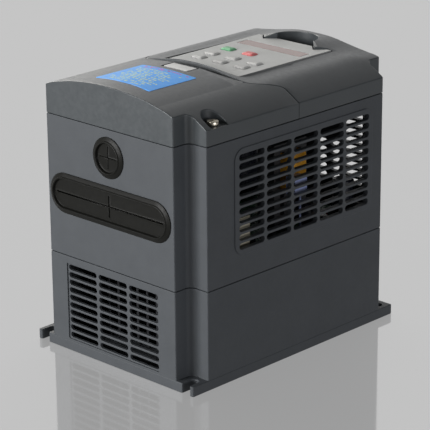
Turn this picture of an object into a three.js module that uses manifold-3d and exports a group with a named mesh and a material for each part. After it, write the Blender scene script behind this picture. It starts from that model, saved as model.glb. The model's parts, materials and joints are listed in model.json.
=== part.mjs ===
// Wall-mounted variable frequency drive, standing on its mounting back.
// Millimetres. X is the width, Y runs from the cable end (-Y) to the fan end (+Y), and Z is the
// depth, from the mounting plane at z = 0 to the crown of the front covers.
import * as THREE from "three";
import { mergeVertices } from "three/addons/utils/BufferGeometryUtils.js";
import Module from "manifold-3d";

// Casing.
const HALF_WIDTH = 62.5;
const HALF_LENGTH = 84;
const NOTCH_X = 12.9; // corner notches, seen along Z
const NOTCH_Y = 11.9;
const NOTCH_FILLET = 4;
const WALL = 2.5;
const FLOOR = 3;
const BASE_TOP = 57;
const MIDDLE_TOP = 138;
const PARTING_GAP = 0.35;
const CLEARANCE = 0.3; // between fixed neighbours
const REACH = 12; // how far a cutting solid runs past what it cuts
const SKIM = 1; // the same, where there is little room
const EMBED = 0.2; // how far a post runs into the wall it stands on
const REST_GAP = 0.1; // between two pieces that rest on each other

// How finely round shapes are divided.
const LEAST_SIDES = 12;
const SIDES_PER_ROOT = 8; // of a circle, for each square root of a millimetre of its radius
const CORNER_STEPS = 2;
const NOTCH_STEPS = 4;
const PANEL_STEPS = 4;
const SLOT_STEPS = 2;
const GROMMET_STEPS = 6;
const GUARD_STEPS = 4;
const WELD = 1e-4;

// Crown of the covers: a flat arch between two creases, and a rounder shoulder outside them.
const CROWN_TOP = 162.2;
const CROWN_RADIUS = 185;
const CREASE_X = 38;
const SHOULDER_SLOPE = 0.205;
const SHOULDER_RADIUS = 50.2;
const CROWN_COLUMNS = 34;
const CROWN_ROWS = 28; // of the upper cover, whose crown also changes along Y

// The upper cover's crown dips on both sides of the keypad, and a little at the fan end.
const SIDE_DIP = { drop: 2.2, inner: [10, 28.9], outer: [30, 48], front: [-24, -2], fade: 0.65 };
const END_DIP = { drop: 1.3, along: [66, 84], outer: [40, 50] };

// Seam between the terminal cover and the upper cover, seen along Z.
const SEAM_Y = -17.5;
const SEAM_SIDE_Y = 0.5;
const SEAM_BEND = [37, 52.5];
const SEAM_STEPS = 8;
const LIP_WIDTH = 3; // ledge of the upper cover under the terminal cover's edge
const LIP_THICKNESS = 1.2;
const LIP_ROOT = 0.5; // how far the ledge reaches into the cover's wall

// Mounting feet: open slots at the cable end and round holes at the fan end.
const FOOT_THICKNESS = 5.8;
const FOOT_CORNER = 1;
const FOOT_X = 56.75;
const FOOT_Y = 77.5;
const FOOT_HOLE_RADIUS = 2.65;

// Banks of rounded ventilation slots. A panel is the low frame round a bank.
const SIDE_VENT = { u: 5.9, v: 101.85, columns: 5, rows: 11, pitchU: 21.8, pitchV: 5.03,
  length: 20, height: 3.5 };
const END_VENT = { ...SIDE_VENT, u: 0, columns: 3, pitchU: 27.2, length: 25.4 };
const BASE_VENT = { u: 0, v: 29.9, columns: 3, rows: 10, pitchU: 24.3, pitchV: 4.53,
  length: 22.5, height: 3.1 };
const PANEL_MARGIN = 3.4;
const PANEL_RISE = 0.6;
const PANEL_RADIUS = 7;
const BASE_PANEL_MARGIN = 0.9;
const BASE_PANEL_DEPTH = 0.8;

// Rubber cable grommets in the cable end.
const ROUND_GROMMET = { v: 122.2, length: 23.6, height: 23.6 };
const OVAL_GROMMET = { v: 94.2, length: 95, height: 23.6 };
const GROMMET_LIP = 1.9; // overlap of the flange on the wall round the hole
const GROMMET_RIM = 3.6;
const FLANGE = { proud: 2, edge: 1.3, bevel: 0.8, backInset: 0.6, backThickness: 1.6, overlap: 0.5 };
const MEMBRANE = { proud: 0.3, thickness: 0.9 };
const SLIT = { width: 0.5, depth: 0.5, endGap: 5 };

// Keypad, its bay in the upper cover, and the finger pocket behind it.
const KEYPAD = { halfWidth: 28.2, front: -11.3, back: 66.2, top: 158.2, bottom: 144.3 };
const FACEPLATE_THICKNESS = 0.6;
const KEYPAD_SKIN = 1.7;
const SHELL_TOP = KEYPAD.top - FACEPLATE_THICKNESS - REST_GAP;
const REAR_COVER = { low: 0.4, high: 2.2 }; // above the keypad's bottom
const BAY_GAP = 0.7;
const BAY_FLOOR = 144;
const BAY_WALL = 2;
const GUIDE = { x: 19.5, halfWidth: 5.8, depth: 6, tipZ: 158.4, rootZ: 161.4 };
const FINGER = { y: 65.5, radius: 14.4, floor: 147.5 };
const KEY_COLUMNS = [-17, -0.4, 16.2];
const KEY_ROWS = [4.5, 14.9, 28.5];
const KEY = { width: 8.4, depth: 6.2, shoulder: 158.4, top: 159.2, slope: 1.1, flange: 0.9 };
const WINDOW = { y: 47.6, width: 49, depth: 9.2 };
const PLUG = { y: 30, width: 13, depth: 9, hole: 2.3, lift: 2 };
const SOCKET = { outer: 1.9, inner: 0.5, floor: 1.2, topGap: 0.6 };
const BADGE = { halfWidth: 9, front: -32.4, back: -24.2, recess: 0.6, margin: 1.1 };
const LABEL = { halfWidth: 21, front: -72.7, back: -36.5, gap: 0.06, thickness: 0.12 };

// Screws, and the posts and ledges they go into.
const COVER_SCREW = { x: 56.8, y: -61.5, pocket: 6.5, floor: 147.2, length: 18 };
const COVER_POST = { inner: 3.8, half: 3.5, height: 38, bore: 16 };
const HOUSING_SCREW = { x: 55.8, y: 62, seat: 44, boss: 4.5, bossTop: 74, tipDepth: 8 };
const BOARD_SCREW = { x: 49, y: 44, length: 5 };
const LEDGE = { inner: 3.5, half: 4, thickness: 3.6 };
const M4 = { shank: 1.75, head: 3.4, height: 2.4 };
const M3 = { shank: 1.3, head: 2.7, height: 1.7 };
const PAN_HEAD = { side: 0.55, crown: 0.72 }; // of the head's height, and of its radius
const CROSS = { floor: 0.45, arm: 0.55, half: 0.13 };

// Fan and heatsink in the base.
const FAN = { size: 50, depth: 15, y: 73.7, z: 28.7, bore: 23.6, hub: 11, corner: 3, web: 2,
  strut: 3, holeInset: 4.5, hole: 1.8 };
const ROTOR = { front: 2.8, back: 0.8, tipGap: 1, blades: 7, root: 4, thickness: 1.4, chord: 9.5,
  pitch: 52 };
const GUARD_RADII = [7.6, 12.6, 17.6, 22.4];
const GUARD_SLOT = 3.2;
const GUARD_SPOKE = 2.4;
const HEATSINK = { halfWidth: 48, front: -57, back: 63, plate: 6, top: 48, fins: 13, fin: 2 };

// Boards.
const BOARD = 1.6;
const POWER_Z = 62;
const POWER_TOP = POWER_Z + BOARD + CLEARANCE; // where parts stand on the power board
const CONTROL_Z = 133.5;
const CONTROL_TOP = CONTROL_Z + BOARD + CLEARANCE;
const POWER_BOARD = { sideGap: 1.5, endGap: 6, bossGap: 1 };
const CONTROL_BOARD = { halfWidth: 52, front: -53, back: 58 };
const KEYPAD_BOARD = { top: 153.6, halfWidth: 25.8, frontGap: 2.4, backGap: 4, dome: 3, domeRise: 0.2 };
const DISPLAY = { halfWidth: 23, halfDepth: 5.5, top: 155.6 };
const STANDOFF = { radius: 3.2, x: 44, y: 44 };

// Parts on the boards.
const IGBT = { x0: -30, x1: 30, y0: -2, y1: 38 };
const RECTIFIER = { x0: -17, x1: 17, y0: -38, y1: -12 };
const MODULE_TOP = POWER_Z - 2;
const POWER_TERMINALS = { halfWidth: 57, front: -56, back: -33, height: 26.1, poles: 9 };
const CONTROL_TERMINALS = { halfWidth: 40, front: -52.4, back: -42.4, height: 9, poles: 10 };
const TERMINAL = { step: 0.55, barrier: 1.6, inset: 0.8, end: 0.4 };
const CAPACITOR = { foot: 2, groove: 0.8, grooveDepth: 0.7, edge: 1, rim: 2, vent: 0.6 };
const DC_CAPACITORS = { x: -34, ys: [-12.5, 19.5, 51.5], radius: 15, height: 48 };
const FILTER_CAPACITORS = [
  { x: 53.2, y: 20, radius: 4.6, height: 20 },
  { x: 43.5, y: 60.5, radius: 6.3, height: 22 },
];
const FILM_CAPACITOR = { x0: 50.6, x1: 57.6, y0: 3, y1: 13, bottom: 92, top: 102, lead: 1, leadInset: 1.5 };
const RELAY = { x0: -12, x1: 9, y0: -18, y1: -3, top: 82 };
const TRANSFORMER = { x: 36, y: 16, legs: 27, depth: 13, bottom: 68, top: 118, leg: 5,
  winding: 25, windingBottom: 90, windingTop: 112, windingCorner: 3 };
const CHOKE = { x: 8, y: 46, ring: 9, section: 4.5, sectionSides: 8, ringSides: 18 };
const LED = { x: 45, y: 46, flange: 1.9, flangeHeight: 1, radius: 1.5, shoulder: 6, nose: 1.1,
  noseHeight: 7.1, height: 7.5 };
const SHEET = { x0: -17, x1: 22, wing: 40, y: 61, thickness: 1, shoulder: 107, top: 133 };
const RIBBON = { halfWidth: 11, y: -26, bow: 3.5, thickness: 1, connector: 6, connectorHalf: 3, steps: 8 };

const wasm = await Module();
wasm.setup();

// ---- Outlines ------------------------------------------------------------------------------

const point = (u, v) => new THREE.Vector2(u, v);
const signs = [-1, 1];
const corners = signs.flatMap((sx) => signs.map((sy) => [sx, sy]));

function arc(u, v, radius, startDegrees, endDegrees, steps) {
  return Array.from({ length: steps + 1 }, (_, i) => {
    const angle = THREE.MathUtils.degToRad(startDegrees + ((endDegrees - startDegrees) * i) / steps);
    return point(u + radius * Math.cos(angle), v + radius * Math.sin(angle));
  });
}

// Enough sides to look round at each size.
function sidesFor(radius) {
  return Math.max(LEAST_SIDES, 2 * Math.round((SIDES_PER_ROOT / 2) * Math.sqrt(radius)));
}

function circle(u, v, radius, sides = sidesFor(radius)) {
  return arc(u, v, radius, 0, 360 - 360 / sides, sides - 1);
}

function rectangle(u0, u1, v0, v1) {
  return [point(u0, v0), point(u1, v0), point(u1, v1), point(u0, v1)];
}

function roundedRectangle(u0, u1, v0, v1, radius, steps) {
  return [
    ...arc(u1 - radius, v0 + radius, radius, -90, 0, steps),
    ...arc(u1 - radius, v1 - radius, radius, 0, 90, steps),
    ...arc(u0 + radius, v1 - radius, radius, 90, 180, steps),
    ...arc(u0 + radius, v0 + radius, radius, 180, 270, steps),
  ];
}

function stadium(u, v, length, height, steps) {
  const radius = height / 2;
  const offset = length / 2 - radius;
  return [
    ...arc(u + offset, v, radius, -90, 90, steps),
    ...arc(u - offset, v, radius, 90, 270, steps),
  ];
}

// The casing seen along Z: a rectangle with a filleted notch at each corner, moved inwards.
function casingOutline(inset) {
  const side = HALF_WIDTH - inset;
  const end = HALF_LENGTH - inset;
  const radius = NOTCH_FILLET + inset;
  const quarter = [
    point(side, end - NOTCH_Y),
    ...arc(side - NOTCH_X + radius, end - NOTCH_Y + radius, radius, 270, 180, NOTCH_STEPS),
    point(side - NOTCH_X, end),
  ];
  const mirrored = (sx, sy) => quarter.map((p) => point(sx * p.x, sy * p.y));
  return [
    ...mirrored(1, 1),
    ...mirrored(-1, 1).reverse(),
    ...mirrored(-1, -1),
    ...mirrored(1, -1).reverse(),
  ];
}

function crownZ(x) {
  const out = Math.max(Math.abs(x) - CREASE_X, 0);
  const flat = Math.min(Math.abs(x), CREASE_X);
  return CROWN_TOP - flat ** 2 / (2 * CROWN_RADIUS) - SHOULDER_SLOPE * out
    - out ** 2 / (2 * SHOULDER_RADIUS);
}

function upperCrownZ(x, y) {
  const { smoothstep } = THREE.MathUtils;
  const across = smoothstep(Math.abs(x), ...SIDE_DIP.inner)
    * (1 - smoothstep(Math.abs(x), ...SIDE_DIP.outer));
  const rear = smoothstep(y, ...END_DIP.along);
  const along = smoothstep(y, ...SIDE_DIP.front) * (1 - SIDE_DIP.fade * rear);
  const end = rear * (1 - smoothstep(Math.abs(x), ...END_DIP.outer));
  return crownZ(x) - SIDE_DIP.drop * across * along - END_DIP.drop * end;
}

// The crown from x0 to x1 as points in the XZ plane, moved up by rise.
function crownLine(x0, x1, rise) {
  const steps = Math.ceil(((x1 - x0) * CROWN_COLUMNS) / (2 * HALF_WIDTH));
  return Array.from({ length: steps + 1 }, (_, i) => {
    const x = x0 + ((x1 - x0) * i) / steps;
    return point(x, crownZ(x) + rise);
  });
}

// One side of the seam, seen along Z: from the seam moved by offset, out to y = far.
function seamSide(offset, far) {
  const [start, end] = SEAM_BEND;
  const bend = Array.from({ length: SEAM_STEPS + 1 }, (_, i) =>
    start + ((end - start) * i) / SEAM_STEPS);
  const outside = HALF_WIDTH + REACH;
  const xs = [-outside, ...bend.map((x) => -x).reverse(), ...bend, outside];
  const seam = xs.map((x) => {
    const bent = THREE.MathUtils.smoothstep(Math.abs(x), start, end);
    return point(x, SEAM_Y + (SEAM_SIDE_Y - SEAM_Y) * bent + offset);
  });
  return [...seam, point(outside, far), point(-outside, far)];
}

// The keypad seen along Z, with a V notch for each guide; grow = BAY_GAP gives the bay.
function keypadOutline(grow) {
  const side = KEYPAD.halfWidth + grow;
  const back = KEYPAD.back + grow;
  const tip = KEYPAD.back - GUIDE.depth + grow * Math.SQRT2;
  const half = ((back - tip) * GUIDE.halfWidth) / GUIDE.depth;
  const notch = (x) => [point(x + half, back), point(x, tip), point(x - half, back)];
  return [
    point(-side, KEYPAD.front - grow),
    point(side, KEYPAD.front - grow),
    point(side, back),
    ...notch(GUIDE.x),
    ...notch(-GUIDE.x),
    point(-side, back),
  ];
}

function slotOutlines(vent) {
  const outlines = [];
  for (let column = 0; column < vent.columns; column += 1) {
    for (let row = 0; row < vent.rows; row += 1) {
      const u = vent.u + (column - (vent.columns - 1) / 2) * vent.pitchU;
      const v = vent.v + (row - (vent.rows - 1) / 2) * vent.pitchV;
      outlines.push(stadium(u, v, vent.length, vent.height, SLOT_STEPS));
    }
  }
  return outlines;
}

// The frame round a bank of slots: [u0, u1, v0, v1].
function ventFrame(vent, margin) {
  const halfU = ((vent.columns - 1) * vent.pitchU + vent.length) / 2 + margin;
  const halfV = ((vent.rows - 1) * vent.pitchV + vent.height) / 2 + margin;
  return [vent.u - halfU, vent.u + halfU, vent.v - halfV, vent.v + halfV];
}

// ---- Solids --------------------------------------------------------------------------------

function solid(geometry) {
  const bare = geometry.clone().deleteAttribute("normal").deleteAttribute("uv");
  const merged = mergeVertices(bare, WELD);
  return new wasm.Manifold(
    new wasm.Mesh({
      numProp: 3,
      vertProperties: merged.getAttribute("position").array,
      triVerts: new Uint32Array(merged.index.array),
    }),
  );
}

function geometryOf(manifold) {
  const mesh = manifold.getMesh();
  const geometry = new THREE.BufferGeometry();
  geometry.setAttribute("position", new THREE.BufferAttribute(mesh.vertProperties, 3));
  geometry.setIndex(new THREE.BufferAttribute(mesh.triVerts, 1));
  const faceted = geometry.toNonIndexed();
  faceted.computeVertexNormals();
  return faceted;
}

const X = new THREE.Vector3(1, 0, 0);
const Y = new THREE.Vector3(0, 1, 0);
const Z = new THREE.Vector3(0, 0, 1);

// Where an outline's u and v and its depth point, for a prism along each axis.
const BASES = {
  x: new THREE.Matrix4().makeBasis(Y, Z, X),
  y: new THREE.Matrix4().makeBasis(X, Z, Y.clone().negate()),
  z: new THREE.Matrix4(),
};

function prism(outline, axis, from, to) {
  const geometry = new THREE.ExtrudeGeometry(new THREE.Shape(outline), {
    depth: to - from,
    bevelEnabled: false,
  });
  geometry.applyMatrix4(BASES[axis]);
  geometry.translate(axis === "x" ? from : 0, axis === "y" ? to : 0, axis === "z" ? from : 0);
  return solid(geometry);
}

function box(x0, x1, y0, y1, z0, z1) {
  const geometry = new THREE.BoxGeometry(x1 - x0, y1 - y0, z1 - z0);
  geometry.translate((x0 + x1) / 2, (y0 + y1) / 2, (z0 + z1) / 2);
  return solid(geometry);
}

// A turned piece about a line along Z. The profile is [radius, z] pairs, from axis to axis.
function turned(profile, x, y) {
  const sides = sidesFor(Math.max(...profile.map(([radius]) => radius)));
  const geometry = new THREE.LatheGeometry(profile.map(([r, z]) => point(r, z)), sides);
  geometry.rotateX(Math.PI / 2);
  geometry.translate(x, y, 0);
  return solid(geometry);
}

function joined(pieces) {
  return pieces.reduce((whole, piece) => whole.add(piece));
}

// A plate that follows the crown, between two heights measured from it.
function crownPlate(x0, x1, y0, y1, low, high) {
  const outline = [...crownLine(x0, x1, high), ...crownLine(x0, x1, low).reverse()];
  return prism(outline, "y", y0, y1);
}

// Everything under the crown and inside the casing's outline, moved inwards.
function underCrown(inset, bottom, height = crownZ, rows = 1) {
  const block = new THREE.BoxGeometry(2 * HALF_WIDTH, 2 * HALF_LENGTH, 1, CROWN_COLUMNS, rows, 1);
  const position = block.getAttribute("position");
  for (let i = 0; i < position.count; i += 1) {
    const top = height(position.getX(i), position.getY(i)) - inset;
    position.setZ(i, position.getZ(i) > 0 ? top : bottom);
  }
  return solid(block).intersect(prism(casingOutline(inset), "z", bottom, CROWN_TOP + REACH));
}

function panHeadScrew(size, x, y, seat, length) {
  const { shank, head, height } = size;
  return turned(
    [[0, seat - length], [shank, seat - length], [shank, seat], [head, seat],
      [head, seat + height * PAN_HEAD.side], [head * PAN_HEAD.crown, seat + height], [0, seat + height]],
    x, y,
  );
}

function crossRecess(size, x, y, seat) {
  const floor = seat + size.height * CROSS.floor;
  const arm = size.head * CROSS.arm;
  const half = size.head * CROSS.half;
  return box(x - arm, x + arm, y - half, y + half, floor, seat + REACH)
    .add(box(x - half, x + half, y - arm, y + arm, floor, seat + REACH));
}

// ---- Casing --------------------------------------------------------------------------------

function fanGuardSlots() {
  const slots = [];
  for (const radius of GUARD_RADII) {
    const half = THREE.MathUtils.radToDeg(Math.asin(GUARD_SPOKE / 2 / radius));
    for (const quadrant of [0, 90, 180, 270]) {
      const from = quadrant + half;
      const to = quadrant + 90 - half;
      slots.push([
        ...arc(0, FAN.z, radius + GUARD_SLOT / 2, from, to, GUARD_STEPS),
        ...arc(0, FAN.z, radius - GUARD_SLOT / 2, to, from, GUARD_STEPS),
      ]);
    }
  }
  return slots;
}

function baseHousing() {
  const foot = roundedRectangle(-HALF_WIDTH, HALF_WIDTH, -HALF_LENGTH, HALF_LENGTH,
    FOOT_CORNER, CORNER_STEPS);
  const shell = prism(casingOutline(0), "z", 0, BASE_TOP)
    .add(prism(foot, "z", 0, FOOT_THICKNESS))
    .subtract(prism(casingOutline(WALL), "z", FLOOR, BASE_TOP + REACH));
  const [u0, u1, v0, v1] = ventFrame(BASE_VENT, BASE_PANEL_MARGIN);
  const recess = box(u0, u1, -HALF_LENGTH - REACH, -HALF_LENGTH + BASE_PANEL_DEPTH, v0, v1);
  const intake = slotOutlines(BASE_VENT).map((slot) =>
    prism(slot, "y", -HALF_LENGTH - REACH, -HALF_LENGTH + REACH));
  const outlet = fanGuardSlots().map((slot) =>
    prism(slot, "y", HALF_LENGTH - REACH, HALF_LENGTH + REACH));
  const feet = signs.flatMap((side) => [
    prism(circle(side * FOOT_X, FOOT_Y, FOOT_HOLE_RADIUS), "z", -REACH, REACH),
    prism(circle(side * FOOT_X, -FOOT_Y, FOOT_HOLE_RADIUS), "z", -REACH, REACH),
    box(side * FOOT_X - FOOT_HOLE_RADIUS, side * FOOT_X + FOOT_HOLE_RADIUS,
      -HALF_LENGTH - REACH, -FOOT_Y, -REACH, REACH),
  ]);
  const { x, y, seat, boss } = HOUSING_SCREW;
  const bosses = corners.map(([sx, sy]) =>
    prism(circle(sx * x, sy * y, boss), "z", 0, BASE_TOP));
  const screwHoles = corners.flatMap(([sx, sy]) => [
    prism(circle(sx * x, sy * y, M4.head + CLEARANCE), "z", -REACH, seat),
    prism(circle(sx * x, sy * y, M4.shank + CLEARANCE), "z", 0, BASE_TOP + REACH),
  ]);
  return joined([shell, ...bosses])
    .subtract(joined([recess, ...intake, ...outlet, ...feet, ...screwHoles]));
}

function grommetHole(grommet) {
  const { v, length, height } = grommet;
  return stadium(0, v, length - 2 * GROMMET_LIP, height - 2 * GROMMET_LIP, GROMMET_STEPS);
}

function middleHousing() {
  const outside = HALF_WIDTH + PANEL_RISE;
  const sidePanel = roundedRectangle(...ventFrame(SIDE_VENT, PANEL_MARGIN), PANEL_RADIUS, PANEL_STEPS);
  const endPanel = roundedRectangle(...ventFrame(END_VENT, PANEL_MARGIN), PANEL_RADIUS, PANEL_STEPS);
  const shell = prism(casingOutline(0), "z", BASE_TOP + PARTING_GAP, MIDDLE_TOP)
    .add(prism(sidePanel, "x", -outside, outside))
    .add(prism(endPanel, "y", 0, HALF_LENGTH + PANEL_RISE))
    .subtract(prism(casingOutline(WALL), "z", BASE_TOP - REACH, MIDDLE_TOP + REACH));
  const vents = [
    ...slotOutlines(SIDE_VENT).map((slot) => prism(slot, "x", -outside - SKIM, outside + SKIM)),
    ...slotOutlines(END_VENT).map((slot) =>
      prism(slot, "y", HALF_LENGTH - REACH, HALF_LENGTH + REACH)),
  ];
  const grommets = [ROUND_GROMMET, OVAL_GROMMET].map((grommet) =>
    prism(grommetHole(grommet), "y", -HALF_LENGTH - REACH, -HALF_LENGTH + REACH));
  return joined([shell.subtract(joined([...vents, ...grommets])), ...middlePosts()])
    .subtract(joined(middleHoles()));
}

// Posts and ledges inside the middle housing, for the screws of the covers, base and board.
function middlePosts() {
  const wallX = HALF_WIDTH - WALL + EMBED;
  const clear = HALF_WIDTH - WALL - CLEARANCE;
  const beside = (side, x0, x1, y, half, z0, z1) =>
    box(Math.min(side * x0, side * x1), Math.max(side * x0, side * x1), y - half, y + half, z0, z1);
  const { x, y, floor } = COVER_SCREW;
  const { inner, half, height } = COVER_POST;
  const coverPosts = signs.flatMap((side) => [
    beside(side, x - inner, wallX, y, half, MIDDLE_TOP - height, MIDDLE_TOP),
    beside(side, x - inner, clear, y, half, MIDDLE_TOP - SKIM, floor - WALL - CLEARANCE),
  ]);
  const bosses = corners.map(([sx, sy]) =>
    prism(circle(sx * HOUSING_SCREW.x, sy * HOUSING_SCREW.y, HOUSING_SCREW.boss), "z",
      BASE_TOP + PARTING_GAP, HOUSING_SCREW.bossTop));
  const ledges = corners.map(([sx, sy]) =>
    beside(sx, BOARD_SCREW.x - LEDGE.inner, wallX, sy * BOARD_SCREW.y, LEDGE.half,
      CONTROL_Z - CLEARANCE - LEDGE.thickness, CONTROL_Z - CLEARANCE));
  return [...coverPosts, ...bosses, ...ledges];
}

function middleHoles() {
  const coverHoles = signs.map((side) =>
    prism(circle(side * COVER_SCREW.x, COVER_SCREW.y, M4.shank + CLEARANCE), "z",
      MIDDLE_TOP - COVER_POST.bore, MIDDLE_TOP + REACH));
  const bossHoles = corners.map(([sx, sy]) =>
    prism(circle(sx * HOUSING_SCREW.x, sy * HOUSING_SCREW.y, M4.shank + CLEARANCE), "z",
      BASE_TOP - REACH, HOUSING_SCREW.bossTop - WALL));
  const ledgeHoles = corners.map(([sx, sy]) =>
    prism(circle(sx * BOARD_SCREW.x, sy * BOARD_SCREW.y, M3.shank + CLEARANCE), "z",
      CONTROL_Z - REACH / 2, CONTROL_Z + REACH));
  return [...coverHoles, ...bossHoles, ...ledgeHoles];
}

function coverShell(height, rows) {
  const bottom = MIDDLE_TOP + PARTING_GAP;
  return underCrown(0, bottom, height, rows).subtract(underCrown(WALL, bottom - REACH, height, rows));
}

function upperCover() {
  const bay = prism(keypadOutline(BAY_GAP), "z", BAY_FLOOR, CROWN_TOP + REACH);
  const grown = KEYPAD.halfWidth + BAY_GAP + BAY_WALL;
  const tub = box(-grown, grown, KEYPAD.front - BAY_GAP - BAY_WALL, KEYPAD.back + BAY_GAP + BAY_WALL,
    BAY_FLOOR - BAY_WALL, CROWN_TOP + REACH);
  const finger = prism(circle(0, FINGER.y, FINGER.radius), "z", FINGER.floor, CROWN_TOP + REACH);
  const fingerTub = prism(circle(0, FINGER.y, FINGER.radius + BAY_WALL), "z",
    FINGER.floor - BAY_WALL, CROWN_TOP + REACH);
  const solids = tub.add(fingerTub)
    .intersect(underCrown(0, BAY_FLOOR - BAY_WALL, upperCrownZ, CROWN_ROWS));
  const guideTop = [
    point(KEYPAD.back - GUIDE.depth, GUIDE.tipZ),
    point(KEYPAD.back + BAY_GAP, GUIDE.rootZ),
    point(KEYPAD.back + BAY_GAP, CROWN_TOP + REACH),
    point(KEYPAD.back - GUIDE.depth, CROWN_TOP + REACH),
  ];
  const guideReach = GUIDE.x + GUIDE.halfWidth + SKIM;
  const plugHole = plugBlock(PLUG.hole, BAY_FLOOR - REACH, BAY_FLOOR + SKIM);
  return coverShell(upperCrownZ, CROWN_ROWS)
    .add(solids)
    .subtract(joined([bay, finger, prism(guideTop, "x", -guideReach, guideReach), plugHole]))
    .intersect(prism(seamSide(PARTING_GAP / 2, HALF_LENGTH + REACH), "z", 0, CROWN_TOP + REACH))
    .add(seamLip());
}

// The ledge that the terminal cover's edge lies over, joined to the upper cover behind the seam.
function seamLip() {
  const bottom = MIDDLE_TOP + PARTING_GAP;
  const inner = underCrown(WALL + CLEARANCE + LIP_THICKNESS, bottom - REACH);
  const under = prism(seamSide(-LIP_WIDTH, HALF_LENGTH), "z", 0, CROWN_TOP + REACH);
  const behind = prism(seamSide(PARTING_GAP / 2, HALF_LENGTH), "z", 0, CROWN_TOP + REACH);
  const past = prism(seamSide(LIP_WIDTH, HALF_LENGTH), "z", 0, CROWN_TOP + REACH);
  return underCrown(WALL + CLEARANCE, bottom).intersect(under)
    .add(underCrown(WALL - LIP_ROOT, bottom).intersect(behind))
    .subtract(inner)
    .subtract(past);
}

// A screw pocket's outline: round at the inside and open towards the side of the casing.
function pocketOutline(side, grow) {
  const { x, y, pocket } = COVER_SCREW;
  const radius = pocket + grow;
  const outside = HALF_WIDTH + REACH;
  return [
    point(side * outside, y - radius),
    ...arc(x, y, radius, 270, 90, sidesFor(radius) / 2).map((p) => point(side * p.x, p.y)),
    point(side * outside, y + radius),
  ];
}

function terminalCover() {
  const { x, y, floor } = COVER_SCREW;
  const tubs = signs.map((side) =>
    prism(pocketOutline(side, BAY_WALL), "z", floor - WALL, CROWN_TOP + REACH));
  const pockets = signs.map((side) =>
    prism(pocketOutline(side, 0), "z", floor, CROWN_TOP + REACH));
  const holes = signs.map((side) =>
    prism(circle(side * x, y, M4.shank + CLEARANCE), "z", MIDDLE_TOP, floor + SKIM));
  const badgeHalf = BADGE.halfWidth + BADGE.margin;
  const recess = crownPlate(-badgeHalf, badgeHalf, BADGE.front - BADGE.margin, BADGE.back + BADGE.margin,
    -BADGE.recess, REACH);
  return coverShell(crownZ, 1)
    .add(joined(tubs).intersect(underCrown(0, floor - WALL)))
    .subtract(joined([...pockets, ...holes, recess]))
    .intersect(prism(seamSide(-PARTING_GAP / 2, -HALF_LENGTH - REACH), "z", 0, CROWN_TOP + REACH));
}

// ---- Grommets and labels -------------------------------------------------------------------

// A rubber grommet: an outer flange, a neck in the wall, an inner flange, and a thin slit
// membrane near the front.
function grommetBody(grommet) {
  const { v, length, height } = grommet;
  const { proud, edge, bevel, backInset, backThickness, overlap } = FLANGE;
  const ring = (inset, from, to) =>
    prism(stadium(0, v, length - 2 * inset, height - 2 * inset, GROMMET_STEPS), "y", from, to);
  const front = -HALF_LENGTH - proud;
  const wallFront = -HALF_LENGTH - REST_GAP;
  const wallBack = -HALF_LENGTH + WALL + REST_GAP;
  const inner = wallBack + backThickness;
  const membrane = -HALF_LENGTH - MEMBRANE.proud;
  const across = length / 2 - SLIT.endGap;
  const up = height / 2 - SLIT.endGap;
  const half = SLIT.width / 2;
  return ring(0, -HALF_LENGTH - edge, wallFront)
    .add(ring(bevel, front, front + bevel))
    .add(ring(GROMMET_LIP + CLEARANCE, wallFront - overlap, wallBack + overlap))
    .add(ring(backInset, wallBack, inner))
    .subtract(ring(GROMMET_RIM, front - SKIM, membrane))
    .subtract(ring(GROMMET_RIM, membrane + MEMBRANE.thickness, inner + SKIM))
    .subtract(box(-across, across, membrane - SKIM, membrane + SLIT.depth, v - half, v + half))
    .subtract(box(-half, half, membrane - SKIM, membrane + SLIT.depth, v - up, v + up));
}

// ---- Keypad --------------------------------------------------------------------------------

const keyPlaces = [
  { name: "key_run", x: KEY_COLUMNS[0], y: KEY_ROWS[2], color: 0x5f9a6b },
  { name: "key_stop", x: KEY_COLUMNS[1], y: KEY_ROWS[2], color: 0xd0605f },
  ...[0, 1].flatMap((row) =>
    KEY_COLUMNS.map((x, column) => ({
      name: `key_grey_${row * 3 + column + 1}`, x, y: KEY_ROWS[row], color: 0xb4b4b2,
    }))),
];

function keyHoles(from, to) {
  const halfX = KEY.width / 2 + CLEARANCE;
  const halfY = KEY.depth / 2 + CLEARANCE;
  return keyPlaces.map(({ x, y }) => box(x - halfX, x + halfX, y - halfY, y + halfY, from, to));
}

function windowBlock(grow, from, to) {
  const { y, width, depth } = WINDOW;
  return box(-width / 2 - grow, width / 2 + grow, y - depth / 2 - grow, y + depth / 2 + grow, from, to);
}

function plugBlock(grow, from, to) {
  const { y, width, depth } = PLUG;
  return box(-width / 2 - grow, width / 2 + grow, y - depth / 2 - grow, y + depth / 2 + grow, from, to);
}

function keypadShell() {
  const under = SHELL_TOP - REACH / 2;
  const over = SHELL_TOP + SKIM;
  const hollow = prism(keypadOutline(-KEYPAD_SKIN), "z", KEYPAD.bottom - SKIM, SHELL_TOP - KEYPAD_SKIN);
  return prism(keypadOutline(0), "z", KEYPAD.bottom, SHELL_TOP)
    .subtract(joined([hollow, ...keyHoles(under, over), windowBlock(0, under, over)]));
}

function keypadFaceplate() {
  const from = KEYPAD.top - FACEPLATE_THICKNESS;
  const over = KEYPAD.top + SKIM;
  return prism(keypadOutline(0), "z", from, KEYPAD.top)
    .subtract(joined([...keyHoles(from - SKIM, over), windowBlock(0, from - SKIM, over)]));
}

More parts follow.
